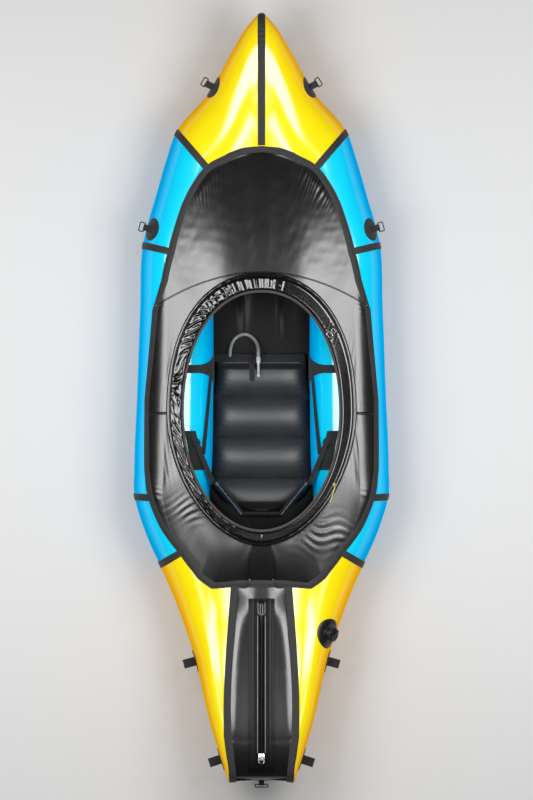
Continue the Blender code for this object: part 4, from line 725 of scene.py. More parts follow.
class HullSettings(bpy.types.PropertyGroup):
    """The hull's colours, from above and as painted shade low down, and how fine its mesh is"""
    yellow: bpy.props.FloatVectorProperty(name="Yellow", description="Bow and stern fabric", subtype="COLOR",
                                          default=(0.96, 0.78, 0.0), min=0, max=1)
    # Painted shade: the orange that the yellow fabric turns where it faces low.
    yellow_in_shade: bpy.props.FloatVectorProperty(name="Yellow edge", description="Bow and stern fabric low down",
                                               subtype="COLOR", default=(1.0, 0.50, 0.004), min=0, max=1)
    cyan: bpy.props.FloatVectorProperty(name="Cyan", description="Side fabric", subtype="COLOR",
                                        default=(0.0, 0.66, 0.95), min=0, max=1)
    # Painted shade: the deeper blue that the cyan fabric turns where it faces low.
    cyan_in_shade: bpy.props.FloatVectorProperty(name="Cyan edge", description="Side fabric low down",
                                             subtype="COLOR", default=(0.0, 0.45, 0.92), min=0, max=1)
    tape: bpy.props.FloatVectorProperty(name="Tape", description="Seam tape", subtype="COLOR",
                                        default=(0.038, 0.037, 0.037), min=0, max=1)
    step: bpy.props.FloatProperty(name="Mesh step", description="Distance between the hull's mesh lines",
                                  default=0.008, min=0.004, max=0.05, unit="LENGTH")


class DeckSettings(bpy.types.PropertyGroup):
    """The deck's colour and the depth of its folds and of the sleeve's crumples"""
    black: bpy.props.FloatVectorProperty(name="Deck black", description="Deck and coaming fabric",
                                         subtype="COLOR", default=(0.0065, 0.0066, 0.0072), min=0, max=1)
    fold: bpy.props.FloatProperty(name="Fold depth", description="Depth of the deck's folds",
                                  default=0.0026, min=0, max=0.01, unit="LENGTH")
    crumple: bpy.props.FloatProperty(name="Sleeve crumple", description="Depth of the coaming sleeve's crumples",
                                     default=0.0045, min=0, max=0.01, unit="LENGTH")


class SeatSettings(bpy.types.PropertyGroup):
    """The seat's colour and the depth of the puckers by its welds"""
    satin: bpy.props.FloatVectorProperty(name="Seat black", description="Seat and backrest fabric",
                                         subtype="COLOR", default=(0.020, 0.021, 0.023), min=0, max=1)
    pucker: bpy.props.FloatProperty(name="Pucker depth", description="Depth of the puckers by the seat's welds",
                                    default=0.0015, min=0, max=0.01, unit="LENGTH")


class StageSettings(bpy.types.PropertyGroup):
    """The floor, the lights and the camera's height"""
    floor: bpy.props.FloatVectorProperty(name="Floor", description="Studio floor colour", subtype="COLOR",
                                         default=(0.62, 0.62, 0.62), min=0, max=1)
    panels: bpy.props.FloatProperty(name="Panel light", description="Brightness of the soft panels overhead",
                                    default=60.0, min=0, max=5000)
    sky: bpy.props.FloatProperty(name="Room light", description="Brightness of the room", default=0.34, min=0,
                                 max=10)
    height: bpy.props.FloatProperty(name="Camera height", description="Height of the camera over the floor",
                                    default=24.0, min=2, max=50, unit="LENGTH")


# ---- operators ----

class BuildStage(bpy.types.Operator):
    """Camera straight above, pale floor, six soft panels and a pale room"""
    bl_idname = "packraft.stage"
    bl_label = "Stage"

    def execute(self, context):
        """The camera's focal length is its sensor times its distance, over the length that it sees."""
        scene, settings = context.scene, context.scene.packraft_stage
        camera = bpy.data.objects.new("camera", bpy.data.cameras.new("camera"))
        scene.collection.objects.link(camera)
        camera.location = (CAMERA_X, CAMERA_Y, settings.height)
        camera.rotation_euler = (0, 0, 0)
        camera.data.sensor_fit = "VERTICAL"
        camera.data.sensor_height = camera.data.sensor_width = SENSOR
        camera.data.lens = SENSOR * (settings.height - SIGHT_LEVEL) / SIGHT_LENGTH
        camera.data.clip_end = 100
        scene.camera = camera
        scene.view_settings.view_transform = "Standard"
        build_groups()
        material = finish_of("studio_floor", tuple(settings.floor), tuple(c * 0.97 for c in settings.floor),
                             (0.6, 0.7), threads=90, bump=0.0002, mottle=0.8, wear=0.05)
        mesh = bpy.data.meshes.new("studio_floor")
        corners = [(FLOOR_HALF * x, FLOOR_HALF * y, FLOOR_LEVEL) for x, y in ((-1, -1), (1, -1), (1, 1), (-1, 1))]
        mesh.from_pydata(corners, [], [(0, 1, 2, 3)])
        floor = bpy.data.objects.new("studio_floor", mesh)
        scene.collection.objects.link(floor)
        mesh.materials.append(material)
        world = bpy.data.worlds.new("room")
        scene.world = world
        world.use_nodes = True
        back = world.node_tree.nodes["Background"]
        back.inputs[0].default_value = (1, 1, 1, 1)
        room = Nodes(world.node_tree)
        gloss = room.add("ShaderNodeLightPath").outputs["Is Glossy Ray"]
        power = room.math("MULTIPLY", room.math("SUBTRACT", 1.0, room.math("MULTIPLY", gloss, 0.9)), settings.sky)
        world.node_tree.links.new(power, back.inputs[1])
        for group, x, y, size, share in PANELS:
            for word, side in SIDES:
                name = f"{group}_{word}"
                light = bpy.data.objects.new(name, bpy.data.lights.new(name, "AREA"))
                light.data.shape = "RECTANGLE"
                light.data.size, light.data.size_y = size
                light.data.energy = settings.panels * share
                light.location = (side * x, y, PANEL_LEVEL)
                scene.collection.objects.link(light)
        return {"FINISHED"}


def along_steps(t0, t1, step):
    """Places from t0 to t1 in even path steps."""
    low, high = (float(path_run(np.float64(t))) for t in (t0, t1))
    count = max(4, int(round(abs(high - low) / step * 1.5)))
    return path_place(np.linspace(low, high, count + 1))


def hull_grid(t, low, high, step):
    """Skin points between two angles per place, with shallow puckers; also how low the skin faces, which is how much
    painted shade its finish takes.
    """
    rows = int(round(TUBE_HEIGHT * 3.1 / step * float(np.mean(high - low)) / 360)) + 2
    t = np.where(np.abs(t) < 1e-9, 1e-9, t)
    v = np.linspace(0, 1, rows)
    angle = lerp(low[:, None], high[:, None], v[None])
    tt = np.repeat(t[:, None], rows, 1)
    p, n = skin(tt, angle), skin_normal(tt, angle)
    dent = wave_sum(p, 0.35, 3) * 0.0004
    # The second value is the share of painted shade: 0 where the skin faces up, 1 where it faces sideways or down.
    return p + n * dent[..., None], smooth(0.93, 0.35, n[..., 2])


class BuildHull(bpy.types.Operator):
    """The coloured panels of the tube, the cargo panel, the keel panel and the floor"""
    bl_idname = "packraft.hull"
    bl_label = "Hull panels"

    def execute(self, context):
        """Each panel is the skin between two stations and two angles, with a wall on its inner side."""
        step = context.scene.packraft_hull.step

        def ring_panel(name, t0, t1, material, replaces):
            """A panel that goes all the way round the tube, between two stations."""
            t = along_steps(t0, t1, step)
            low = np.full_like(t, -180.0)
            p, tone = hull_grid(t, low, -low, step)
            Build().grid(p[:, :-1], close_v=True, flip=True, tone=tone[:, :-1]).finish(
                name, material, replaces=replaces, solid=SKIN_WALL)

        ring_panel("bow_fabric", -BOW_SEAM, BOW_SEAM, "yellow_fabric", ["bow_panel_port", "bow_panel_starboard"])
        for word, side in SIDES:
            for name, a, b in (("fore", BOW_SEAM, FORE_SEAM), ("mid", FORE_SEAM, MID_SEAM),
                               ("quarter", MID_SEAM, QUARTER_SEAM)):
                t0, t1 = sorted((side * a, side * b))
                ring_panel(f"{name}_fabric_{word}", t0, t1, "cyan_fabric", [f"{name}_panel_{word}"])
            t0, t1 = sorted((side * QUARTER_SEAM, side * KEEL_EDGE))
            t = along_steps(t0, t1, step)
            low, high = np.full_like(t, -180.0), cargo_angle(np.abs(t))
            p, tone = hull_grid(t, low, high, step)
            Build().grid(p, flip=True, tone=tone).finish(
                f"stern_fabric_{word}", "yellow_fabric", replaces=[f"stern_panel_{word}"], solid=SKIN_WALL)
        self.cargo(step)
        t = along_steps(KEEL_EDGE, STERN, step)
        t = np.concatenate([t, 2 * STERN - t[-2::-1]])
        p, tone = hull_grid(t, np.full_like(t, -180.0), cargo_angle(around(t)[0]), step)
        Build().grid(p, flip=True).finish("keel_fabric", "cargo_fabric", replaces=["keel_panel"], solid=SKIN_WALL)
        self.floor()
        return {"FINISHED"}

    def cargo(self, step):
        """The black panel on the stern: from one seam to the other each line is a power curve of the distance
        from the middle, and its height in the middle is the tube's own. Ahead it goes down the cockpit side."""
        t = along_steps(CARGO_START, STERN, step)
        t = np.concatenate([t, 2 * STERN - t[-2::-1]])
        s = around(t)[0]
        low = np.maximum(cargo_angle(s), deck_angle(s) + 6)
        p, _ = hull_grid(t, low, np.full_like(t, 180.0), step)
        build = Build().grid(p, flip=True)
        s = np.concatenate([np.linspace(15.0, CORNER, 130), np.linspace(CORNER, KEEL_EDGE, 14)[1:],
                            np.full(26, float(KEEL_EDGE))])
        a = cargo_angle(s)
        a[-26:] = np.linspace(a[-27], -30, 27)[1:]
        edge = skin(s, a)
        fine = np.linspace(125, -32, 900)
        middle = skin(np.full_like(fine, float(STERN)), fine)
        start = np.abs(middle[:, 1] - edge[0, 1]).argmin()
        stop = 600 + np.abs(middle[600:, 2] - edge[-1, 2]).argmin()
        middle = middle[start:stop + 1]
        along = [np.concatenate([[0], np.cumsum(np.hypot(*np.diff(q[:, 1:], axis=0).T))]) for q in (edge, middle)]
        centre = np.stack([np.interp(along[0] / along[0][-1], along[1] / along[1][-1], middle[:, i])
                           for i in range(3)], -1)
        v = np.linspace(-1, 1, 61)
        fall = (np.abs(v)[None] ** lerp(3.2, 12.0, smooth(15.3, 16.3, s))[:, None])[..., None]
        top = lerp(centre[:, None], edge[:, None], fall)
        top[..., 0] = edge[:, None, 0] * v[None]
        top = settle(top, 0.012, np.ones_like(top[..., 0]) * smooth(1.0, 0.9, np.abs(v))[None])
        build.grid(top).finish("cargo_fabric", "cargo_fabric", replaces=["cargo_panel"], solid=SKIN_WALL)

    def floor(self):
        """The floor sheet from tube to tube, with slack lengthwise folds that catch the light."""
        t = np.linspace(FLOOR_START, FLOOR_END, 160)
        edge = skin(t, -90.0)
        y = np.clip(edge[:, 1], -0.62 + SHIFT, 0.79 + SHIFT)
        v = np.linspace(-1, 1, 81)
        x = edge[:, 0][:, None] * v[None]
        yy = np.repeat(y[:, None], len(v), 1)
        inside = smooth(1.0, 0.55, np.abs(v))[None]
        ripple = wave_sum(np.stack([x, yy * 0.3, x * 0], -1), 0.12, 5)
        fold = 0.006 * crease((np.abs(x) - 0.061) / 0.5) ** 8 + 0.003 * ripple
        z = FLOOR_THICKNESS + np.maximum(fold, 0) * inside * smooth(0.16, 0.34, yy)
        Build().grid(np.stack([x, yy, z], -1)).finish(
            "floor_cloth", "floor_fabric", replaces=["floor_sheet"], solid=SKIN_WALL)


def tape_strip(build, t, angle, width, bars=0.0):
    """A strip square to its own line (t, angle): walked over the skin to each side, then lifted and slightly
    wrinkled. Bars are short cross folds near the bow's tip."""
    mid = skin(t, angle)
    forward = np.gradient(mid, axis=0)
    n = skin_normal(t, angle)
    side = unit(np.cross(n, forward))
    v = np.linspace(-1, 1, 9)
    tt, aa = np.repeat(t[:, None], len(v), 1), np.repeat(angle[:, None], len(v), 1)
    shift = side[:, None] * (v * width / 2)[None, :, None]
    tt, aa = walk(tt, aa, shift)
    nn = skin_normal(tt, aa)
    edge = 1 - np.abs(v) ** 8 * 0.7
    p = skin(tt, aa)
    rise = TAPE_LIFT + TAPE_THICKNESS * edge[None] + 0.0002 * wave_sum(p, 0.03, 8)
    run = distances(p, 0)[:, None]
    fold = np.cos(np.pi * (run / 0.0145 + 0.5 * np.sin(run * 41) + 0.15 * v[None])) ** 2
    rise = rise + bars * fold * np.exp(-((p[..., 1] - 1.215) / 0.075) ** 2) * (1 - v[None] ** 4)
    low = p + nn * (TAPE_LIFT - TAPE_SINK)
    top = p + nn * rise[..., None]
    build.grid(capped(np.concatenate([top, low[:, ::-1]], 1)), close_v=True)
    return build


class BuildTapes(bpy.types.Operator):
    """The welded tapes over the hull's seams and the deck's edge"""
    bl_idname = "packraft.tapes"
    bl_label = "Seam tapes"

    def execute(self, context):
        """Each tape follows a line of stations and angles: across the tube, or along the cargo panel."""
        build = Build()
        angle = np.linspace(-62, float(deck_angle(np.float64(0))) - 3, 260)
        tape_strip(build, np.full_like(angle, 1e-6), angle, TAPE_WIDTH, bars=0.0026)
        build.finish("bow_seam_tape", "seam_tape", replaces=["bow_tape"])
        for word, side in SIDES:
            build = Build()
            for seam in (BOW_SEAM, FORE_SEAM, MID_SEAM, QUARTER_SEAM):
                angle = np.linspace(-88, float(deck_angle(np.float64(seam))) - 2, 110)
                tape_strip(build, np.full_like(angle, side * seam), angle, CROSS_TAPE_WIDTH)
            build.finish("hull_seam_tapes_" + word, "seam_tape")
            s = np.concatenate([np.linspace(CARGO_TAPE_START, CORNER, 120), np.linspace(CORNER, KEEL_EDGE, 16)[1:]])
            a = cargo_angle(s)
            s = np.concatenate([s, np.full(24, float(KEEL_EDGE))])
            a = np.concatenate([a, np.linspace(a[-1], -22, 25)[1:]])
            build = tape_strip(Build(), side * s, a, TAPE_WIDTH)
            build.finish("cargo_seam_tape_" + word, "seam_tape", replaces=["cargo_tape_" + word])
        self.deck_edge()
        return {"FINISHED"}

    def deck_edge(self):
        """The tape round the deck's edge: half on the hull's skin, half on the deck, as one loop."""
        half = along_steps(0, STERN, 0.010)
        s = np.concatenate([half[:-1], 2 * STERN - half[:0:-1]])
        st = around(s)[0]
        low = deck_angle(st)
        rate = np.linalg.norm(skin_slopes(s, low)[1], axis=-1)
        v = np.array((-1.0, -0.96, -0.8, -0.55, -0.25, 0.0, 0.25, 0.5, 0.75, 0.96, 1.0))
        aa = low[:, None] + v[None] * TAPE_WIDTH / 2 / rate[:, None]
        tt = np.repeat(s[:, None], len(v), 1)
        p, n = skin(tt, aa), skin_normal(tt, aa)
        over = DECK_LIFT + FABRIC + 0.0004
        lift = np.interp(v, (-1, -0.55, -0.1, 1), (TAPE_LIFT, TAPE_LIFT, over, over))[None]
        top = p + n * (lift + TAPE_THICKNESS * (1 - np.abs(v) ** 8 * 0.7))[..., None]
        under = p + n * (lift - 0.001)[..., None]
        ring = ease_bed(np.concatenate([top, under[:, ::-1]], 1))
        Build().grid(ring, close_u=True, close_v=True).finish(
            "deck_edge_seam_tape", "seam_tape", replaces=["deck_edge_tape"])


def at_place(p, x, y, reach_x, reach_y):
    """1 at a place given in the hull's own across and along, fading out over its reaches."""
    return np.exp(-((p[..., 0] - x) / reach_x) ** 2 - ((p[..., 1] - SHIFT - y) / reach_y) ** 2)


def deck_folds(t, p, depth):
    """Folds of the deck: short ones square to the tape at its corners, long ones aft, a soft unevenness."""
    run = path_run(np.where(t > STERN, t - 2 * STERN, t))
    lengths = np.linalg.norm(np.diff(p, axis=1), axis=-1)
    edge = np.cumsum(np.concatenate([lengths[:, :1] * 0, lengths], 1), axis=1)
    free = smooth(0.014, 0.030, edge)
    short = np.exp(-edge / 0.045)
    wander = 0.35 * np.sin(run * 61) + 0.2 * np.sin(run * 23)
    comb = np.cos(np.pi * (run / 0.018 + edge * 14 + wander)) ** 2
    wide_comb = np.cos(np.pi * (run / 0.026 + edge * 9 + wander)) ** 2
    corners = sum(at_place(p, *q) for q in ((-0.190, 0.735, 0.06, 0.07), (0.195, 0.740, 0.065, 0.07)))
    shoulders = sum(at_place(p, *q) for q in ((-0.365, 0.325, 0.03, 0.05), (0.355, 0.325, 0.03, 0.05),
                                              (-0.375, -0.335, 0.03, 0.03), (0.375, -0.335, 0.03, 0.03)))
    aft_right = at_place(p, 0.235, -0.47, 0.09, 0.055)
    aft_left = at_place(p, -0.255, -0.385, 0.07, 0.04)
    level = np.cos(np.pi * ((p[..., 1] + 0.25 * p[..., 0]) / 0.030 + 0.5 * np.sin(p[..., 0] * 40))) ** 2
    mirror = np.cos(np.pi * ((p[..., 1] - 0.45 * p[..., 0]) / 0.028 + 0.4 * np.sin(p[..., 0] * 33))) ** 2
    fore = smooth(0.36, 0.55, p[..., 1]) * (0.14 * wave_sum(p * (0.8, 1, 1), 0.06, 11) + 0.08 * wave_sum(p, 0.03, 4))
    stripes = np.cos(np.pi * (np.abs(p[..., 0]) / 0.016 + 1.2 * np.sin(p[..., 1] * 9 + np.sign(p[..., 0])))) ** 2
    side_sheen = (smooth(0.30, 0.10, p[..., 1]) * stripes * smooth(0.05, 0.08, edge) * 0.12
                  * smooth(-0.34, -0.24, p[..., 1]))
    broad = wave_sum(p, 0.20, 2) * 0.15
    return depth * free * (3.4 * corners * short * comb + 1.0 * shoulders * short * wide_comb
                           + 0.8 * aft_right * level + 0.6 * aft_left * mirror + fore + side_sheen + broad)


class BuildDeck(bpy.types.Operator):
    """The spray deck with its folds and its raised seams"""
    bl_idname = "packraft.deck"
    bl_label = "Spray deck"

    def execute(self, context):
        """The deck's surface as one grid round the boat: averaged, folded, and cut at its side seams."""
        depth = context.scene.packraft_deck.fold
        half = along_steps(0, STERN, 0.0068)
        t = np.concatenate([half[:-1], 2 * STERN - half[:0:-1]])
        t = np.where(np.abs(t) < 1e-9, 1e-6, t)
        row = np.concatenate([np.linspace(0, 1, 23)[:-1], np.linspace(1, 2, 37)])
        tt, rr = np.meshgrid(t, row, indexing="ij")
        p = ease_bed(deck_surface(tt, rr))
        p = settle(p, 0.020, smooth(12.0, 14.5, around(tt)[0]) * smooth(0.0, 0.3, rr), closed=True)
        p = settle(p, 0.050, smooth(0.6, 1.3, rr) * smooth(8.0, 6.5, around(tt)[0]), closed=True)
        p = settle(p, 0.012, smooth(0.3, 1.0, rr), closed=True)
        p[..., 2] += deck_folds(tt, p, depth)
        ahead = np.where(around(t)[0] <= SIDE_SEAM)[0]
        a = int(ahead[ahead < len(half)].max())
        b = int(ahead[ahead > len(half)].min())
        halves = (("deck_fabric_fore", np.concatenate([p[b:], p[:a + 1]]),
                   ["deck_fore", "deck_port", "deck_starboard"]),
                  ("deck_fabric_aft", p[a:b + 1], ["deck_aft"]))
        pieces = [Build().grid(points, flip=True).finish(name, "deck_fabric", replaces=nodes, solid=DECK_WALL)
                  for name, points, nodes in halves]
        self.seams(tree_of(context, *pieces))
        return {"FINISHED"}

    def seams(self, tree):
        """Raised seams: the arc ahead of the coaming and a short one to each side of it."""
        x = np.linspace(-0.372, 0.372, 220)
        arc = np.stack([x, 0.433 - 0.86 * x * x + SHIFT, x * 0], -1)
        build = Build()
        lines = [arc]
        for side in (-1, 1):
            xs = np.linspace(0.332, 0.396, 30)
            lines.append(np.stack([side * xs, xs * 0 - 0.055 + SHIFT, xs * 0], -1))
        for line in lines:
            build_welt(build, drop(line, tree), 0.0062, 0.0022)
        build.finish("deck_seams", "deck_fabric")


def tree_of(context, *objects):
    """One ray tree over the finished shapes of several objects."""
    graph = context.evaluated_depsgraph_get()
    points, faces, count = [], [], 0
    for piece in objects:
        shape = piece.evaluated_get(graph)
        mesh = shape.to_mesh()
        co = np.empty(len(mesh.vertices) * 3, np.float32)
        mesh.vertices.foreach_get("co", co)
        corners = np.empty(len(mesh.loops), np.int32)
        mesh.loops.foreach_get("vertex_index", corners)
        points.append(co.reshape(-1, 3))
        faces += [tuple(corners[f.loop_start:f.loop_start + f.loop_total] + count) for f in mesh.polygons]
        count += len(mesh.vertices)
        shape.to_mesh_clear()
    return BVHTree.FromPolygons(np.concatenate(points).tolist(), [list(map(int, f)) for f in faces])


def drop(line, tree, lift=0.0):
    """Points put down on a mesh from above; a point that misses keeps its neighbour's height."""
    z = [tree.ray_cast(Vector((float(a), float(b), 1.0)), Vector((0, 0, -1)))[0] for a, b, _ in line]
    found = np.array([math.nan if h is None else h.z for h in z])
    good = ~np.isnan(found)
    found = np.interp(np.arange(len(found)), np.arange(len(found))[good], found[good])
    return np.stack([line[:, 0], line[:, 1], found + lift], -1)


def build_welt(build, path, width, height):
    """A low rounded strip that follows a path over a near-level surface."""
    run = unit(np.gradient(path, axis=0))
    side = unit(np.cross(run, (0.0, 0.0, 1.0)))
    v = np.linspace(0, np.pi, 7)
    off = np.cos(v) * width / 2
    up = np.sin(v) * height
    top = path[:, None] + side[:, None] * off[None, :, None] + np.stack([up * 0, up * 0, up], -1)[None]
    low = path[:, None] + side[:, None] * off[None, ::-1, None] - (0, 0, 0.001)
    build.grid(capped(np.concatenate([top, low], 1)), close_v=True)
    return build


def sleeve_crumple(turn, f, depth):
    """Crumples of the coaming's sleeve: short radial puckers ahead, slanting folds to port and nearly
    smooth to starboard."""
    turn = np.mod(turn + 180, 360) - 180
    run = np.radians(turn) * 0.42
    port = smooth(14, 8, turn) * smooth(-168, -150, turn)
    ahead = np.exp(-((turn + 8) / 24) ** 2) * smooth(16, 10, turn)
    left = port * (1 - ahead)
    fold = lambda phase: np.cos(np.pi * phase) ** 2
    swing = 0.5 * np.sin(run * 19 + 1.1) + 0.3 * np.sin(run * 43)
    phase = run / 0.027 + 0.30 * np.sin(run * 47) + 0.12 * f
    pucker = fold(phase) ** 2.5 * (0.62 + 0.38 * np.sin(run * 71))
    upper = smooth(-92, -70, turn)
    lean = lerp(-2.1, 2.2, upper)
    phase = run / lerp(0.052, 0.048, upper) + lean * f + lerp(0.5, 0.8, upper) * swing
    slant = fold(phase) ** 3 * (0.7 + 0.3 * np.sin(run * 29))
    small = fold(run / 0.021 + 1.4 * lean * f + swing) ** 3 * np.sin(np.pi * f) ** 2
    patch = np.exp(-((turn + 84) / 11) ** 2) * np.sin(run * 75 + 4 * f) * np.sin(np.pi * f)
    inside = smooth(0.0, 0.18, f) * smooth(1.0, 0.84, f)
    d = ahead * pucker * 0.75 + left * (0.46 * slant + 0.04 * small + 0.30 * patch)
    right = (1 - port) * 0.03 * np.sin(run * 20 + f * 2)
    hook = np.exp(-((turn - 53) / 6) ** 2) * fold(run / 0.022 + f * 1.2) * 0.04
    return depth * (d + right + hook) * inside


class BuildCoaming(bpy.types.Operator):
    """The cockpit's rim: crumpled sleeve, corded outer edge and bound inner edge"""
    bl_idname = "packraft.coaming"
    bl_label = "Coaming"

    def execute(self, context):
        """Straight lines from the opening to the rim, arched and crumpled, and a cord along each edge."""
        depth = context.scene.packraft_deck.crumple
        turn = np.linspace(0, 360, 900, endpoint=False)
        f = np.linspace(0, 1, 44)
        tt, ff = np.meshgrid(turn, f, indexing="ij")
        inner = coaming(tt, 0.0, 0.0085, RISER_HEIGHT * 0.80)
        outer = coaming(tt, 1.0, -ROD_DIAMETER * 0.92, RISER_HEIGHT - LIP_DROOP + 0.0035)
        top = lerp(inner, outer, ff[..., None])
        top[..., 2] += 0.0055 * (1 - np.abs(2 * ff - 1) ** 9) + sleeve_crumple(tt, ff, depth)
        g = np.linspace(1, 0, 14)[1:-1]
        tg, gg = np.meshgrid(turn, g, indexing="ij")
        low_in = coaming(tg, 0.0, 0.0115, RISER_HEIGHT * 0.62)
        low_out = coaming(tg, 1.0, -ROD_DIAMETER * 0.95, RISER_HEIGHT - LIP_DROOP - 0.003)
        low = lerp(low_in, low_out, gg[..., None])
        build = Build().grid(np.concatenate([top, low], 1), close_u=True, close_v=True, flip=True)
        foot = np.linspace(0, 1, 6)
        th, hh = np.meshgrid(turn[::2], foot, indexing="ij")
        wall = coaming(th, 0.0, 0.0118 + 0.0008 * np.sin(np.radians(th) * 38) * hh, RISER_HEIGHT * 0.75 * hh)
        back = coaming(th[:, ::-1], 0.0, 0.0094, RISER_HEIGHT * 0.75 * hh[:, ::-1])
        build.grid(np.concatenate([wall, back], 1), close_u=True, close_v=True, flip=True)
        build.finish("coaming_sleeve", "sleeve_fabric", replaces=["coaming_flange"])
        rim = coaming(turn, 1.0, -ROD_DIAMETER / 2, RISER_HEIGHT - LIP_DROOP)
        swell = ROD_DIAMETER / 2 * (1 + 0.02 * np.sin(np.radians(turn) * 60))
        Build().tube(rim, swell, 16, closed=True).finish("coaming_cord", "sleeve_fabric", replaces=["coaming_rod"])
        bead = coaming(turn, 0.0, BINDING_DIAMETER / 2, RISER_HEIGHT * 0.62)
        bead_r = BINDING_DIAMETER / 2 * (1 + 0.03 * np.sin(np.radians(turn) * 150))
        Build().tube(bead, bead_r, 14, closed=True).finish("opening_binding", "binding", replaces=["coaming_binding"])
        tree = BVHTree.FromObject(bpy.data.objects["coaming_sleeve"], context.evaluated_depsgraph_get())
        self.rim_cord(tree)
        self.rim_hook(tree)
        return {"FINISHED"}

    def rim_cord(self, tree):
        """The pull cord of the sleeve: a knot and a short loose end lying on it."""
        f = np.linspace(0, 1, 60)
        x = np.interp(f, (0, 0.25, 0.6, 1), (0.2505, 0.2500, 0.2450, 0.2340)) + 0.0012 * np.sin(f * 9)
        y = lerp(-0.300, -0.358, f) + SHIFT
        path = drop(np.stack([x, y, 0 * x], -1), tree, 0.0019)
        path[:, 2] = np.convolve(np.pad(path[:, 2], 4, mode="edge"), np.ones(9) / 9, mode="valid") + 0.0004
        cord = Build().tube(path, 0.0015 * (1 + 0.06 * np.sin(f * 210)), 12).finish("rim_pull_cord", "cord_yellow")
        turn = np.linspace(0, 4 * np.pi, 90, endpoint=False)
        knot = np.stack([0.0034 * np.cos(turn), 0.0030 * np.sin(turn), 0.0011 * np.sin(turn / 2)], -1)
        knot = Build().tube(path[0] + knot + (0, 0.003, 0.0012), 0.0014, 10, closed=True).finish(
            "rim_pull_knot", "cord_yellow")

    def rim_hook(self, tree):
        """The dull patch on the sleeve's starboard front and the small hook sewn to it."""
        share = np.linspace(0.10, 0.80, 40)
        line = coaming(53.5, share)
        path = drop(line, tree, 0.0012)
        build = Build()
        ribbon(build, path, (0, 0, 1), 0.030, 0.0018)
        build.finish("rim_hook_patch", "webbing")
        out = unit(line[-1] - line[0])
        side = np.array((-out[1], out[0], 0.0))
        build = Build()
        for k, width, depth in ((6, 0.017, 0.011), (22, 0.011, 0.008)):
            matrix = Matrix.Identity(4)
            for column, value in enumerate((side, np.cross(out, side), out, path[k] + (0, 0, 0.0034))):
                matrix.col[column] = (*value, 1.0 if column == 3 else 0.0)
            ring_loop(build, matrix, width, depth, 0.0030)
        build.finish("rim_hook", "steel")


def seat_surface(u, v, under=False, pucker=0.0):
    """The seat's skin: u from front to rear, v across; channels swell between the welds."""
    y = lerp(SEAT_FRONT, SEAT_REAR, u)
    half = SEAT_WIDTH / 2 * lerp(0.90, 1, np.minimum(1, u / 0.5))
    half = half * np.sqrt(np.maximum(0.0, 1 - np.maximum(0, (u - 0.77) / 0.23) ** 2.4))
    rim = np.sqrt(np.maximum(0.0, 1 - np.abs(v) ** 3.4))
    from_seam = (SEAT_FIRST_SEAM - y) / SEAT_PITCH
    swell = np.abs(np.sin(np.pi * from_seam)) ** 0.85
    gap = (from_seam - np.round(from_seam)) * SEAT_PITCH
    ends = smooth(0.0, 0.05, u) * smooth(1.0, 0.93, u)
    swell = swell * ends
    thick = SEAT_THICKNESS * lerp(0.30, 1 - 0.30 * (1 - swell), rim)
    low = FLOOR_THICKNESS + GAP
    lift = SEAT_THICKNESS * 0.28 * (1 - rim)
    z = low + lift + (0 if under else 1) * (thick - lift * 0.5 - 0.0012 * np.exp(-(gap / 0.0014) ** 2) * rim)
    x = v * half
    if not under and pucker:
        edge = np.exp(-(1 - np.abs(v)) * half / 0.022)
        weld = np.exp(-((from_seam - np.round(from_seam)) * SEAT_PITCH / 0.016) ** 2)
        z = z + pucker * (edge * crease(from_seam * 8.0 + np.abs(v) * 2) * 0.9
                          + weld * np.sin(x / 0.0052 + 2 * np.sin(x * 90)) * 0.25 * rim)
    return np.stack([x, y + SHIFT, z], -1)


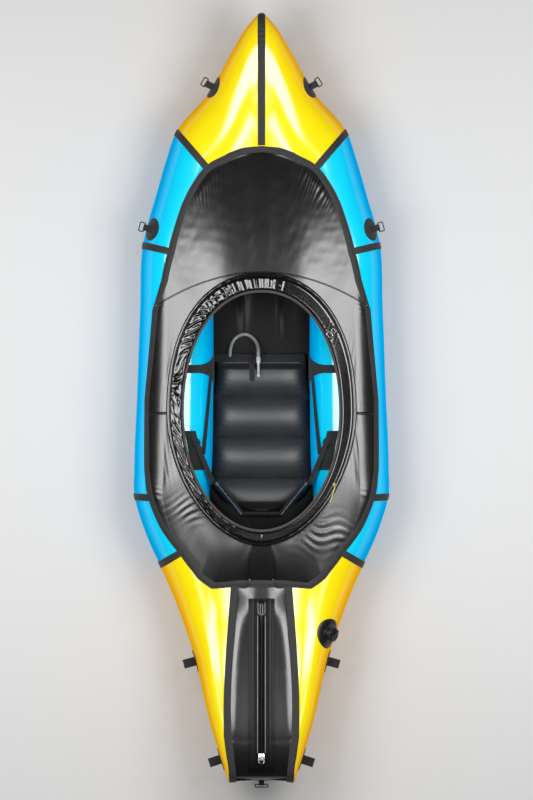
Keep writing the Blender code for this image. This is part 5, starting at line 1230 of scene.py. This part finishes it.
class BuildSeat(bpy.types.Operator):
    """The inflated seat with its welded channels, its front strap and its filling hose"""
    bl_idname = "packraft.seat"
    bl_label = "Seat"

    def execute(self, context):
        """The seat's skin and its underside, joined round their edge."""
        pucker = context.scene.packraft_seat.pucker
        u, v = np.linspace(0, 0.995, 460), np.sin(np.linspace(-np.pi / 2, np.pi / 2, 107))
        uu, vv = np.meshgrid(u, v, indexing="ij")
        top = seat_surface(uu, vv, pucker=pucker)
        low = seat_surface(uu, vv, under=True)
        ring = np.concatenate([top, low[:, ::-1]], 1)
        seat = Build().grid(capped(ring), close_v=True, flip=True).finish(
            "seat_cushion_fabric", "seat_fabric", replaces=["seat_cushion"])
        self.hose()
        self.front_strap()
        return {"FINISHED"}

    def hose(self):
        """The hose as a round section along a smooth line through its own points."""
        route = np.array(HOSE_ROUTE) + (0, SHIFT, 0)
        ends = np.vstack([route[0] * 2 - route[1], route, route[-1] * 2 - route[-2]])
        f = np.linspace(0, 1, 6, endpoint=False)[None, :, None]
        p0, p1, p2, p3 = (ends[i:len(ends) - 3 + i][:, None] for i in range(4))
        curve = (p1 * 2 + (p2 - p0) * f + (p0 * 2 - p1 * 5 + p2 * 4 - p3) * f * f
                 + (p1 * 3 - p0 - p2 * 3 + p3) * f**3) / 2
        path = np.vstack([curve.reshape(-1, 3), route[-1]])
        hose = Build().tube(path, HOSE_DIAMETER / 2, 20, normal=(0.31, 0.2, 0.93)).finish(
            "seat_hose", "hose_plastic", replaces=["hose"])
        run = (Vector(path[-1]) - Vector(path[-2])).normalized()
        matrix = Matrix.Translation(Vector(path[-1])) @ run.to_track_quat("Z", "Y").to_matrix().to_4x4()
        r, s, long = HOSE_DIAMETER / 2, 0.0042, VALVE_STEM
        profile = ((0, GAP), (r + 0.0005, GAP), (r + 0.002, 0.003), (r + 0.002, 0.006), (r + 0.0012, 0.008),
                   (r + 0.002, 0.010), (r + 0.002, 0.019), (r + 0.0005, 0.0215), (s, 0.0255), (s * 0.92, 0.034),
                   (s, 0.040), (s, long - 0.012), (s + 0.0015, long - 0.010), (s + 0.0018, long - 0.005),
                   (s + 0.0012, long - 0.002), (s * 0.8, long), (0, long))
        mouth = Build().turned(profile, matrix).finish("seat_mouth_valve", "clear_plastic", replaces=["mouth_valve"])

    def front_strap(self):
        """The webbing along the seat's front edge and its two tails."""
        build = Build()
        x = np.linspace(-0.163, 0.151, 90)
        y = 0.1375 + 0.003 * np.abs(x / 0.16) + SHIFT
        z = 0.046 - 0.010 * np.abs(x / 0.16) ** 2
        ribbon(build, np.stack([x, y, z], -1), (0, 0.45, 0.89), 0.032, 0.0022)
        for x0, x1, low in ((-0.040, -0.0365, 0.062), (-0.0275, -0.0300, 0.058)):
            yy = np.linspace(0.140, low, 26)
            z = np.interp(yy, (low, 0.090, 0.125, 0.140), (0.0815, 0.080, 0.062, 0.050))
            ribbon(build, np.stack([np.linspace(x0, x1, 26), yy + SHIFT, z], -1), (0, 0.1, 1), 0.009, 0.0016)
        build.finish("seat_front_strap", "webbing")


def ribbon(build, path, normal, width, thickness):
    """A flat strap: a rounded thin section carried along a path, facing the given normal."""
    path = np.asarray(path, float)
    run = unit(np.gradient(path, axis=0))
    normal = np.broadcast_to(np.asarray(normal, float), path.shape)
    side = unit(np.cross(run, normal))
    up = np.cross(side, run)
    v = np.linspace(-1, 1, 9)
    off = side[:, None] * (v[None] * width / 2)[..., None]
    lip = (1 - np.abs(v) ** 6 * 0.6) * thickness / 2
    top = path[:, None] + off + up[:, None] * lip[None, :, None]
    low = path[:, None] + off - up[:, None] * lip[None, :, None]
    ring = np.concatenate([top, low[:, ::-1]], 1)
    build.grid(capped(ring), close_v=True)
    return build


class BuildBackrest(bpy.types.Operator):
    """The U-shaped backrest with its padded edges"""
    bl_idname = "packraft.backrest"
    bl_label = "Backrest"

    def execute(self, context):
        """A section with three quilted swells, carried along the plan."""
        u = np.linspace(-1, 1, 220)
        v = np.linspace(0, 1, 60)

        def plan(u):
            """From above: straight across the middle, then one even bend forward on each side."""
            a = np.abs(u)
            slope = np.clip((a - 0.30) / 0.70, 0, 1)
            f = slope * slope * (3 - 2 * slope) * 0.25 + slope * 0.75
            x = lerp(BACK_FLAT * np.minimum(1, a / 0.30), BACK_HALF, f)
            return np.stack([np.sign(u) * x, -BACK_DEPTH * (1 - f)], -1)

        here = plan(u)
        forward = unit(plan(np.minimum(u + 0.02, 1)) - plan(np.maximum(u - 0.02, -1)))
        out = np.stack([forward[:, 1], -forward[:, 0]], -1)
        body = np.sqrt(np.maximum(0.1, 1 - np.abs(2 * v - 1) ** 3))
        quilt = 1 + 0.10 * np.abs(np.sin(np.pi * 3 * v)) ** 0.8
        half = BACK_THICKNESS / 2 * np.clip(body * quilt, 0, 1.02)
        up = BACK_BOTTOM + v * BACK_HEIGHT
        front = here[:, None] + out[:, None] * half[None, :, None]
        rear = here[:, None] - out[:, None] * half[None, ::-1, None]
        z = np.broadcast_to(up, front.shape[:2])
        ring = np.concatenate([np.concatenate([front, z[..., None]], -1),
                               np.concatenate([rear, z[:, ::-1, None]], -1)], 1)
        ring = ring + (0, BACK_FRONT + SHIFT, 0)
        pad = Build().grid(capped(ring), close_v=True, flip=True).finish(
            "backrest_pad", "seat_fabric", body="backrest", replaces=["backrest"])
        build = Build()
        top = np.concatenate([here, np.full((len(here), 1), BACK_BOTTOM + BACK_HEIGHT)], -1)
        build.tube(top[8:-8] + (0, BACK_FRONT + SHIFT, -0.001), 0.0042, 10)
        build.finish("backrest_piping", "sleeve_fabric", body="backrest", slot="seat_fabric")
        return {"FINISHED"}


class BuildStraps(bpy.types.Operator):
    """Strap patches, buckles, backrest straps and side webbing on both sides"""
    bl_idname = "packraft.straps"
    bl_label = "Straps"

    def execute(self, context):
        """The same pieces on both sides."""
        for word, side in SIDES:
            self.patch(word, side)
            self.buckle_and_strap(word, side)
            self.side_webbing(word, side)
        return {"FINISHED"}

    def patch(self, word, side):
        """The patch under the buckle: a share of the way over the tube between two stations, with a hem."""
        i, v = np.meshgrid(np.linspace(0, 1, 40), np.linspace(0, 1, 24), indexing="ij")
        s = lerp(9.44, 10.0, i)
        fore, aft = lerp(0.640, 0.750, i), lerp(0.775, 0.895, i)
        angle = lerp(top_angle(s, fore), top_angle(s, aft), v)
        border = np.minimum(np.minimum(i, 1 - i), np.minimum(v, 1 - v))
        stitch = 0.0007 * np.exp(-((border - 0.08) / 0.02) ** 2)
        top = over_skin(side * s, angle, 0.0032 - stitch + 0 * s)
        low = over_skin(side * s, angle, 0.0010 + 0 * s)
        build = Build()
        build.grid(top, flip=side > 0)
        build.grid(low, flip=side < 0)
        for edge in ((slice(0, 1), slice(None)), (slice(-1, None), slice(None))):
            build.grid(np.concatenate([top[edge], low[edge]], 0))
        for edge in ((slice(None), slice(0, 1)), (slice(None), slice(-1, None))):
            build.grid(np.concatenate([top[edge], low[edge]], 1))
        build.finish("strap_patch_fabric_" + word, "webbing", replaces=["strap_patch_" + word])

    def buckle_and_strap(self, word, side):
        """The ladder buckle on its patch, the strap from it to the backrest, and the webbing that holds it."""
        angle = float(top_angle(BUCKLE_STATION, BUCKLE_SHARE))
        lift = PATCH_THICKNESS + STRAP_THICKNESS + GAP + BUCKLE_WIRE / 2
        here = skin_frame(side * BUCKLE_STATION, angle, lift)
        centre, normal = here.translation, here.col[2].to_3d()
        low_end = Vector((side * (BACK_HALF + GAP), BACK_FRONT + SHIFT, BACK_PIVOT))
        toward = (low_end - centre).normalized()
        run = (toward - normal * toward.dot(normal)).normalized()
        across = normal.cross(run)
        turn = np.linspace(0, 2 * np.pi, 64, endpoint=False)
        w, d = (BUCKLE_WIDTH + BUCKLE_WIRE) / 2, (BUCKLE_DEPTH + BUCKLE_WIRE) / 2
        px = np.sign(np.cos(turn)) * w * np.abs(np.cos(turn)) ** 0.5
        py = np.sign(np.sin(turn)) * d * np.abs(np.sin(turn)) ** 0.5
        a, r, c = (np.array(q) for q in (across, run, centre))
        loop = c + a * px[:, None] + r * py[:, None]
        build = Build().tube(loop, 0.0018, 12, closed=True, normal=tuple(normal))
        bar = c + a * np.linspace(-w, w, 12)[:, None]
        build.tube(bar, 0.0014, 10, normal=tuple(normal))
        build.finish("ladder_buckle_" + word, "ring_plastic", replaces=["strap_buckle_" + word],
                     slot="hard_plastic")
        start = centre + run * (BUCKLE_DEPTH / 2 + BUCKLE_WIRE + GAP)
        end = low_end + Vector((side * (BACK_THICKNESS * 0.115 + abs(across.x) * 0.010), -BACK_THICKNESS * 0.31, 0))
        f = np.linspace(0, 1, 60)[:, None]
        path = lerp(np.array(start), np.array(end), f)
        path[:, 2] += (0.010 * 4 * f * (1 - f))[:, 0]
        build = ribbon(Build(), path, np.array(normal), STRAP_WIDTH, STRAP_THICKNESS)
        build.finish("backrest_webbing_" + word, "webbing", replaces=["backrest_strap_" + word])
        loop_path = lerp(c - r * 0.0295, c + r * 0.004, np.linspace(0, 1, 24)[:, None])
        loop_path = loop_path + np.array(normal) * (0.0030 * np.sin(np.linspace(0, np.pi, 24)))[:, None]
        build = ribbon(Build(), loop_path, np.array(normal), SIDE_STRAP_WIDTH, STRAP_THICKNESS)
        tail = lerp(c, c + r * 0.030, np.linspace(0, 1, 20)[:, None]) + np.array(normal) * 0.0042
        ribbon(build, tail, np.array(normal), 0.018, 0.0016)
        build.finish("buckle_webbing_" + word, "webbing")

    def side_webbing(self, word, side):
        """The gusset inside the tube, wider towards its foot, and the strap from it to the buckle's patch."""
        angle = np.linspace(GUSSET_TOP, GUSSET_FOOT, 70)
        f = (angle - GUSSET_TOP) / (GUSSET_FOOT - GUSSET_TOP)
        width = lerp(0.028, 0.150, np.maximum(0.0, f - 0.25) ** 1.6 / 0.75**1.6)
        v = np.linspace(-1, 1, 25)
        rate = np.linalg.norm(skin_slopes(np.full_like(angle, GUSSET_STATION), angle)[0], axis=-1)
        s = GUSSET_STATION + v[None] * (width / 2 / rate)[:, None]
        aa = np.repeat(angle[:, None], len(v), 1)
        hem = 0.0008 * np.exp(-((np.abs(v) - 0.86) / 0.06) ** 2)[None]
        top = over_skin(side * s, aa, 0.0036 - hem + 0 * s)
        low = over_skin(side * s, aa, 0.0012 + 0 * s)
        ring = np.concatenate([top, low[:, ::-1]], 1)
        Build().grid(capped(ring), close_v=True).finish(
            "side_gusset_" + word, "webbing", replaces=["side_webbing_" + word])
        # The strap: its places across are looked up on the tube at each station.
        y = np.linspace(0.070, -0.200, 60)
        x = side * np.interp(y, (-0.200, 0.070), (0.2035, 0.1785))
        s = np.interp(y, (-0.255, 0.005, 0.305), (10.0, 8.95, 8.0))
        row = station(s)[0]
        middle, reach = (row[:, 0] + row[:, 2]) / 2, (row[:, 0] - row[:, 2]) / 2
        cosine = np.clip((np.abs(x) - middle) / reach, -0.98, 0.98)
        aa = np.degrees(np.arccos(cosine))
        path = over_skin(side * s, aa, 0.004 + 0 * s)
        n = skin_normal(side * s, aa)
        ribbon(Build(), path, n, SIDE_STRAP_WIDTH, STRAP_THICKNESS).finish("side_strap_" + word, "webbing")


def disc_patch(build, t, angle, diameter, rings=18, spokes=72):
    """A round patch laid on the skin by walking out from its centre; its rim is rounded over."""
    base = skin_frame(t, angle)
    across, up = np.array(base.col[0].to_3d()), np.array(base.col[1].to_3d())
    turn = np.linspace(0, 2 * np.pi, spokes, endpoint=False)
    f = np.concatenate([np.linspace(0.0001, 0.94, rings), (0.97, 0.99, 1.0)])
    rr, tt = np.meshgrid(f * diameter / 2, turn, indexing="ij")
    shift = across * np.cos(tt)[..., None] * rr[..., None] + up * np.sin(tt)[..., None] * rr[..., None]
    places, angles = walk(np.full_like(rr, t), np.full_like(rr, angle), shift, 5)
    rim = np.sqrt(np.clip(1 - ((f - 0.94) / 0.06).clip(0, 1) ** 2, 0, 1))
    ridge = 0.0004 * np.exp(-((f - 0.86) / 0.03) ** 2)
    height = PATCH_LIFT + PATCH_THICKNESS * (0.25 + 0.75 * rim) + ridge
    top = over_skin(places, angles, np.repeat(height[:, None], spokes, 1))
    low = over_skin(places[-1:], angles[-1:], np.full((1, spokes), PATCH_LIFT - 0.001))
    build.grid(capped(np.concatenate([top, low], 0)), close_v=True)
    return build


def folded_tab(build, matrix, width, length, room):
    """A folded webbing loop on its patch: a stadium outline with a wall, carried across its width."""
    foot, outer = PATCH_LIFT + PATCH_THICKNESS * 0.35, room + WEB
    turn = np.linspace(0, np.pi, 15)
    top = length - outer
    y = np.concatenate([[outer], outer * np.cos(turn), [-outer], [-room], -room * np.cos(turn), [room]])
    z = np.concatenate([[foot], top + outer * np.sin(turn), [foot], [foot + WEB],
                        top + room * np.sin(turn), [foot + WEB]])
    x = np.array((-1, -0.98, -0.5, 0, 0.5, 0.98, 1)) * width / 2
    shrink = np.array((0.93, 1, 1, 1, 1, 1, 0.93))
    p = np.stack([np.repeat(x[:, None], len(y), 1), y[None] * shrink[:, None],
                  foot + (z - foot)[None] * np.ones_like(shrink)[:, None]], -1)
    n = len(turn) + 2
    outer_grid, inner_grid = p[:, :n], p[:, n:]
    build.grid(place_points(outer_grid, matrix))
    build.grid(place_points(inner_grid, matrix))
    for i in (0, -1):
        build.grid(place_points(np.stack([outer_grid[i], inner_grid[i][::-1]], 0), matrix))
    for pair in ((outer_grid[:, 0], inner_grid[:, -1]), (outer_grid[:, -1], inner_grid[:, 0])):
        build.grid(place_points(np.stack(pair, 0), matrix))
    return build


def ring_loop(build, matrix, width, depth, wire):
    """A round wire bent to a rounded rectangle whose straight side lies on the matrix's X axis."""
    half_w, half_d = (width + wire) / 2, (depth + wire) / 2
    corner = min(half_w, half_d) * 0.4
    quarter = np.radians(np.linspace(0, 90, 8))
    points = []
    for k, (sx, sy) in enumerate(((1, 1), (-1, 1), (-1, -1), (1, -1))):
        turn = quarter + k * np.pi / 2
        points.append(np.stack([sx * (half_w - corner) + corner * np.cos(turn),
                                0 * turn, sy * (half_d - corner) + corner * np.sin(turn) + half_d], -1))
    loop = place_points(np.concatenate(points), matrix)
    normal = np.array(matrix.to_3x3() @ Vector((0, 1, 0)))
    build.tube(loop, wire / 2, 12, closed=True, normal=tuple(normal))
    return build


class BuildTies(bpy.types.Operator):
    """The tie patches with their rings or loops, and the stern's tab and ring"""
    bl_idname = "packraft.ties"
    bl_label = "Tie patches"

    def execute(self, context):
        """A patch at each place, with a tab and its ring or with a sewn loop."""
        for word, side in SIDES:
            for place, s, angle in RING_PLACES + LOOP_PLACES:
                tag, matrix = f"{place}_{word}", skin_frame(side * s, angle)
                build = disc_patch(Build(), side * s, angle, PATCH_DIAMETER)
                if (place, s, angle) in LOOP_PLACES:
                    folded_tab(build, matrix, *LOOP_SIZE, LOOP_ROOM)
                else:
                    self.tab_and_ring(build, matrix, TAB_SIZE, RING_SIZE).finish(
                        f"ring_{tag}", "ring_plastic", body=f"tie_ring_{tag}", replaces=[f"tie_ring_{tag}"])
                build.finish(f"patch_{tag}", "webbing", replaces=[f"tie_patch_{tag}"])
        build = disc_patch(Build(), STERN, STERN_ANGLE, STERN_PATCH_DIAMETER)
        ring = self.tab_and_ring(build, skin_frame(STERN, STERN_ANGLE), STERN_TAB_SIZE, STERN_RING_SIZE)
        build.finish("stern_tab_patch", "webbing", replaces=["stern_patch"])
        ring.finish("stern_flat_ring", "ring_plastic", body="stern_ring", replaces=["stern_ring"])
        return {"FINISHED"}

    def tab_and_ring(self, build, matrix, tab, ring):
        """Folds a tab round a ring, and gives the ring, tipped about its bar to where it rests."""
        room = RING_WIRE / 2 + 0.0005
        folded_tab(build, matrix, *tab, room)
        pivot = (matrix @ Matrix.Translation((0, 0, tab[1] - room - WEB))
                 @ Matrix.Rotation(math.radians(RING_REST), 4, "X"))
        return ring_loop(Build(), pivot, *ring, RING_WIRE)


class BuildValve(bpy.types.Operator):
    """The filling valve with its patch, stepped body and twist cap"""
    bl_idname = "packraft.valve"
    bl_label = "Valve"

    def execute(self, context):
        """Profiles turned round the skin's outward line, and rounded blocks for the cap's grip."""
        disc_patch(Build(), VALVE_STATION, VALVE_ANGLE, VALVE_PATCH_DIAMETER, rings=26, spokes=96).finish(
            "valve_disc", "hard_plastic", replaces=["valve_patch"])
        base = PATCH_LIFT + PATCH_THICKNESS + GAP
        matrix = skin_frame(VALVE_STATION, VALVE_ANGLE)
        top = base + 0.003 + 0.010
        profile = ((0, base + 0.0024), (0.015, base + 0.0024), (0.015, top), (0.0165, top + 0.0002),
                   (0.0225, top), (0.023, top - 0.0006), (0.023, base + 0.0042), (0.0245, base + 0.003),
                   (0.0300, base + 0.003), (0.0305, base + 0.0036), (0.0315, base + 0.0036),
                   (0.0320, base + 0.003), (0.0334, base + 0.0028), (0.034, base + 0.0018), (0.034, base), (0, base))
        Build().turned(profile, matrix, 72).finish("valve_socket", "hard_plastic", replaces=["valve_body"])
        lid = matrix @ Matrix.Translation((0, 0, top + GAP))
        profile = ((0, 0), (0.025, 0), (0.025, 0.0056), (0.0245, 0.0068), (0.0215, 0.008), (0.0200, 0.0080),
                   (0.0190, 0.0068), (0.0120, 0.0066), (0.0110, 0.0080), (0, 0.0082))
        ribs = lambda turn: 1 + 0.012 * np.sign(np.sin(turn * 18))
        build = Build().turned(profile, lid, 144, wobble=ribs)
        build.block((0.040, 0.010, 0.0115), lid @ Matrix.Translation((0, 0, 0.0098)), power=6)
        for x in (0.0135, -0.0135):
            build.block((0.012, 0.017, 0.0100), lid @ Matrix.Translation((x, 0, 0.0092)), power=5)
        build.finish("valve_twist_cap", "hard_plastic", body="valve_cap", replaces=["valve_cap"])
        return {"FINISHED"}


class BuildZip(bpy.types.Operator):
    """The cargo zip: its base, its teeth, the raised lines and dock beside them, the slider and the pull"""
    bl_idname = "packraft.zip"
    bl_label = "Cargo zip"

    def execute(self, context):
        """Heights over the cargo panel, looked up by the distance from the middle, lower at both ends."""
        cargo = bpy.data.objects["cargo_fabric"]
        tree = BVHTree.FromObject(cargo, context.evaluated_depsgraph_get())
        f = np.linspace(0, 1, 260)
        y = np.linspace(ZIP_FRONT, ZIP_REAR, len(f))
        centre = drop(np.stack([y * 0, y + SHIFT, y * 0], -1), tree)
        x = np.array([-line for line in ZIP_LINES[:0:-1]] + list(ZIP_LINES)) / 1000
        rise = np.interp(np.abs(x) * 1000, *np.transpose(ZIP_RISE)) / 1000
        ends = smooth(0.0, 0.03, f) * smooth(1.0, 0.97, f)
        p = drop_grid(x, y + SHIFT, tree)
        p[..., 2] += 0.0012 + rise[None] * (0.35 + 0.65 * ends)[:, None]
        Build().grid(p).finish("zip_base", "zip_tape", replaces=["cargo_zip"], solid=SKIN_WALL)
        self.teeth(centre)
        self.outlines(context)
        steel_copy("zip_slider", "zip_slider_body", bevel=0.0012)
        steel_copy("zip_pull", "zip_pull_ring")
        return {"FINISHED"}

    def outlines(self, context):
        """Thin raised lines: one down each side of the teeth, and the round-ended dock at the front."""
        tree = tree_of(context, bpy.data.objects["zip_base"])
        build = Build()
        y = np.linspace(-0.752, -1.222, 200)
        for x in (-0.0135, 0.0135):
            build.tube(drop(np.stack([y * 0 + x, y + SHIFT, y * 0], -1), tree, 0.0003), 0.0010, 8)
        turn = np.linspace(0, np.pi, 24)
        for half, front in ((0.0120, -0.706), (0.0045, -0.712)):
            bend = -0.748 + half
            x = np.concatenate([[-half] * 12, -half * np.cos(turn), [half] * 12])
            along = np.linspace(front, bend, 12)
            yy = np.concatenate([along, bend - half * np.sin(turn), along[::-1]])
            build.tube(drop(np.stack([x, yy + SHIFT, x * 0], -1), tree, 0.0005), 0.0011, 8)
        build.finish("zip_outlines", "hose_plastic", slot="hard_plastic")

    def teeth(self, centre):
        """Two rows of small coil turns beside the centre line."""
        count = 210
        y = np.linspace(TEETH_FRONT, TEETH_REAR, count) + SHIFT
        z = np.interp(y, centre[::-1, 1], centre[::-1, 2]) + 0.0068
        a, b = np.meshgrid(np.linspace(0, 2 * np.pi, 8, endpoint=False), np.linspace(-1, 1, 4), indexing="ij")
        build = Build()
        for side in (-1, 1):
            shape = np.stack([side * 0.0016 + b * 0.0016 * np.sqrt(1.04 - b * b * 0.6),
                              0.0008 * np.cos(a), 0.0010 * np.sin(a)], -1)
            p = shape[None] + np.stack([0 * y, y + side * 0.0006, z], -1)[:, None, None]
            for k in range(count):
                build.grid(capped(p[k].swapaxes(0, 1)), close_v=True)
        build.finish("zip_teeth", "hard_plastic")


def drop_grid(x, y, tree):
    """A grid of points put down on a mesh from above, one row per y."""
    return np.array([drop(np.stack([x, x * 0 + row, x * 0], -1), tree) for row in y])


def steel_copy(node, name, bevel=0.0):
    """A rigid solid's copy in steel, on the body of the same name: points merged, edges rounded."""
    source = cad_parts[node]
    mesh = source.data.copy()
    bm = bmesh.new()
    bm.from_mesh(mesh)
    bmesh.ops.remove_doubles(bm, verts=bm.verts, dist=1e-5)
    bmesh.ops.recalc_face_normals(bm, faces=bm.faces)
    bmesh.ops.dissolve_limit(bm, angle_limit=math.radians(2), verts=bm.verts, edges=bm.edges)
    bm.to_mesh(mesh)
    bm.free()
    mesh.materials.clear()
    mesh.materials.append(bpy.data.materials["steel_finish"])
    piece = bpy.data.objects.new(name, mesh)
    bpy.context.scene.collection.objects.link(piece)
    if bevel:
        rounded = piece.modifiers.new("rounded", "BEVEL")
        rounded.width, rounded.segments, rounded.limit_method = bevel, 3, "ANGLE"
    mesh.shade_smooth()
    mesh.set_sharp_from_angle(angle=math.radians(40))
    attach(piece, node)
    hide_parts(node)


class PackraftPanel(bpy.types.Panel):
    """The builder's buttons and settings"""
    bl_idname = "VIEW3D_PT_packraft"
    bl_label = "Packraft"
    bl_space_type = "VIEW_3D"
    bl_region_type = "UI"
    bl_category = "Packraft"

    def draw(self, context):
        """One button per operator, then each group's settings in a box."""
        for operator in OPERATORS:
            self.layout.operator(operator.bl_idname)
        for name, group_class in SETTINGS:
            box = self.layout.box()
            for key in group_class.__annotations__:
                box.prop(getattr(context.scene, name), key)


SETTINGS = (("packraft_hull", HullSettings), ("packraft_deck", DeckSettings), ("packraft_seat", SeatSettings),
            ("packraft_stage", StageSettings))
OPERATORS = (BuildStage, BuildHull, BuildTapes, BuildDeck, BuildCoaming, BuildSeat, BuildBackrest, BuildStraps,
             BuildTies, BuildValve, BuildZip)


def register():
    """Makes the settings, the operators and the panel known."""
    for name, group_class in SETTINGS:
        bpy.utils.register_class(group_class)
        setattr(bpy.types.Scene, name, bpy.props.PointerProperty(type=group_class))
    for operator in OPERATORS:
        bpy.utils.register_class(operator)
    bpy.utils.register_class(PackraftPanel)


def unregister():
    """Takes them away again in the other order."""
    bpy.utils.unregister_class(PackraftPanel)
    for operator in reversed(OPERATORS):
        bpy.utils.unregister_class(operator)
    for name, group_class in reversed(SETTINGS):
        delattr(bpy.types.Scene, name)
        bpy.utils.unregister_class(group_class)


def main():
    """Builds every piece in order."""
    register()
    build_finishes(bpy.context)
    for operator in OPERATORS:
        space, action = operator.bl_idname.split(".")
        getattr(getattr(bpy.ops, space), action)()


if __name__ == "__main__":
    main()
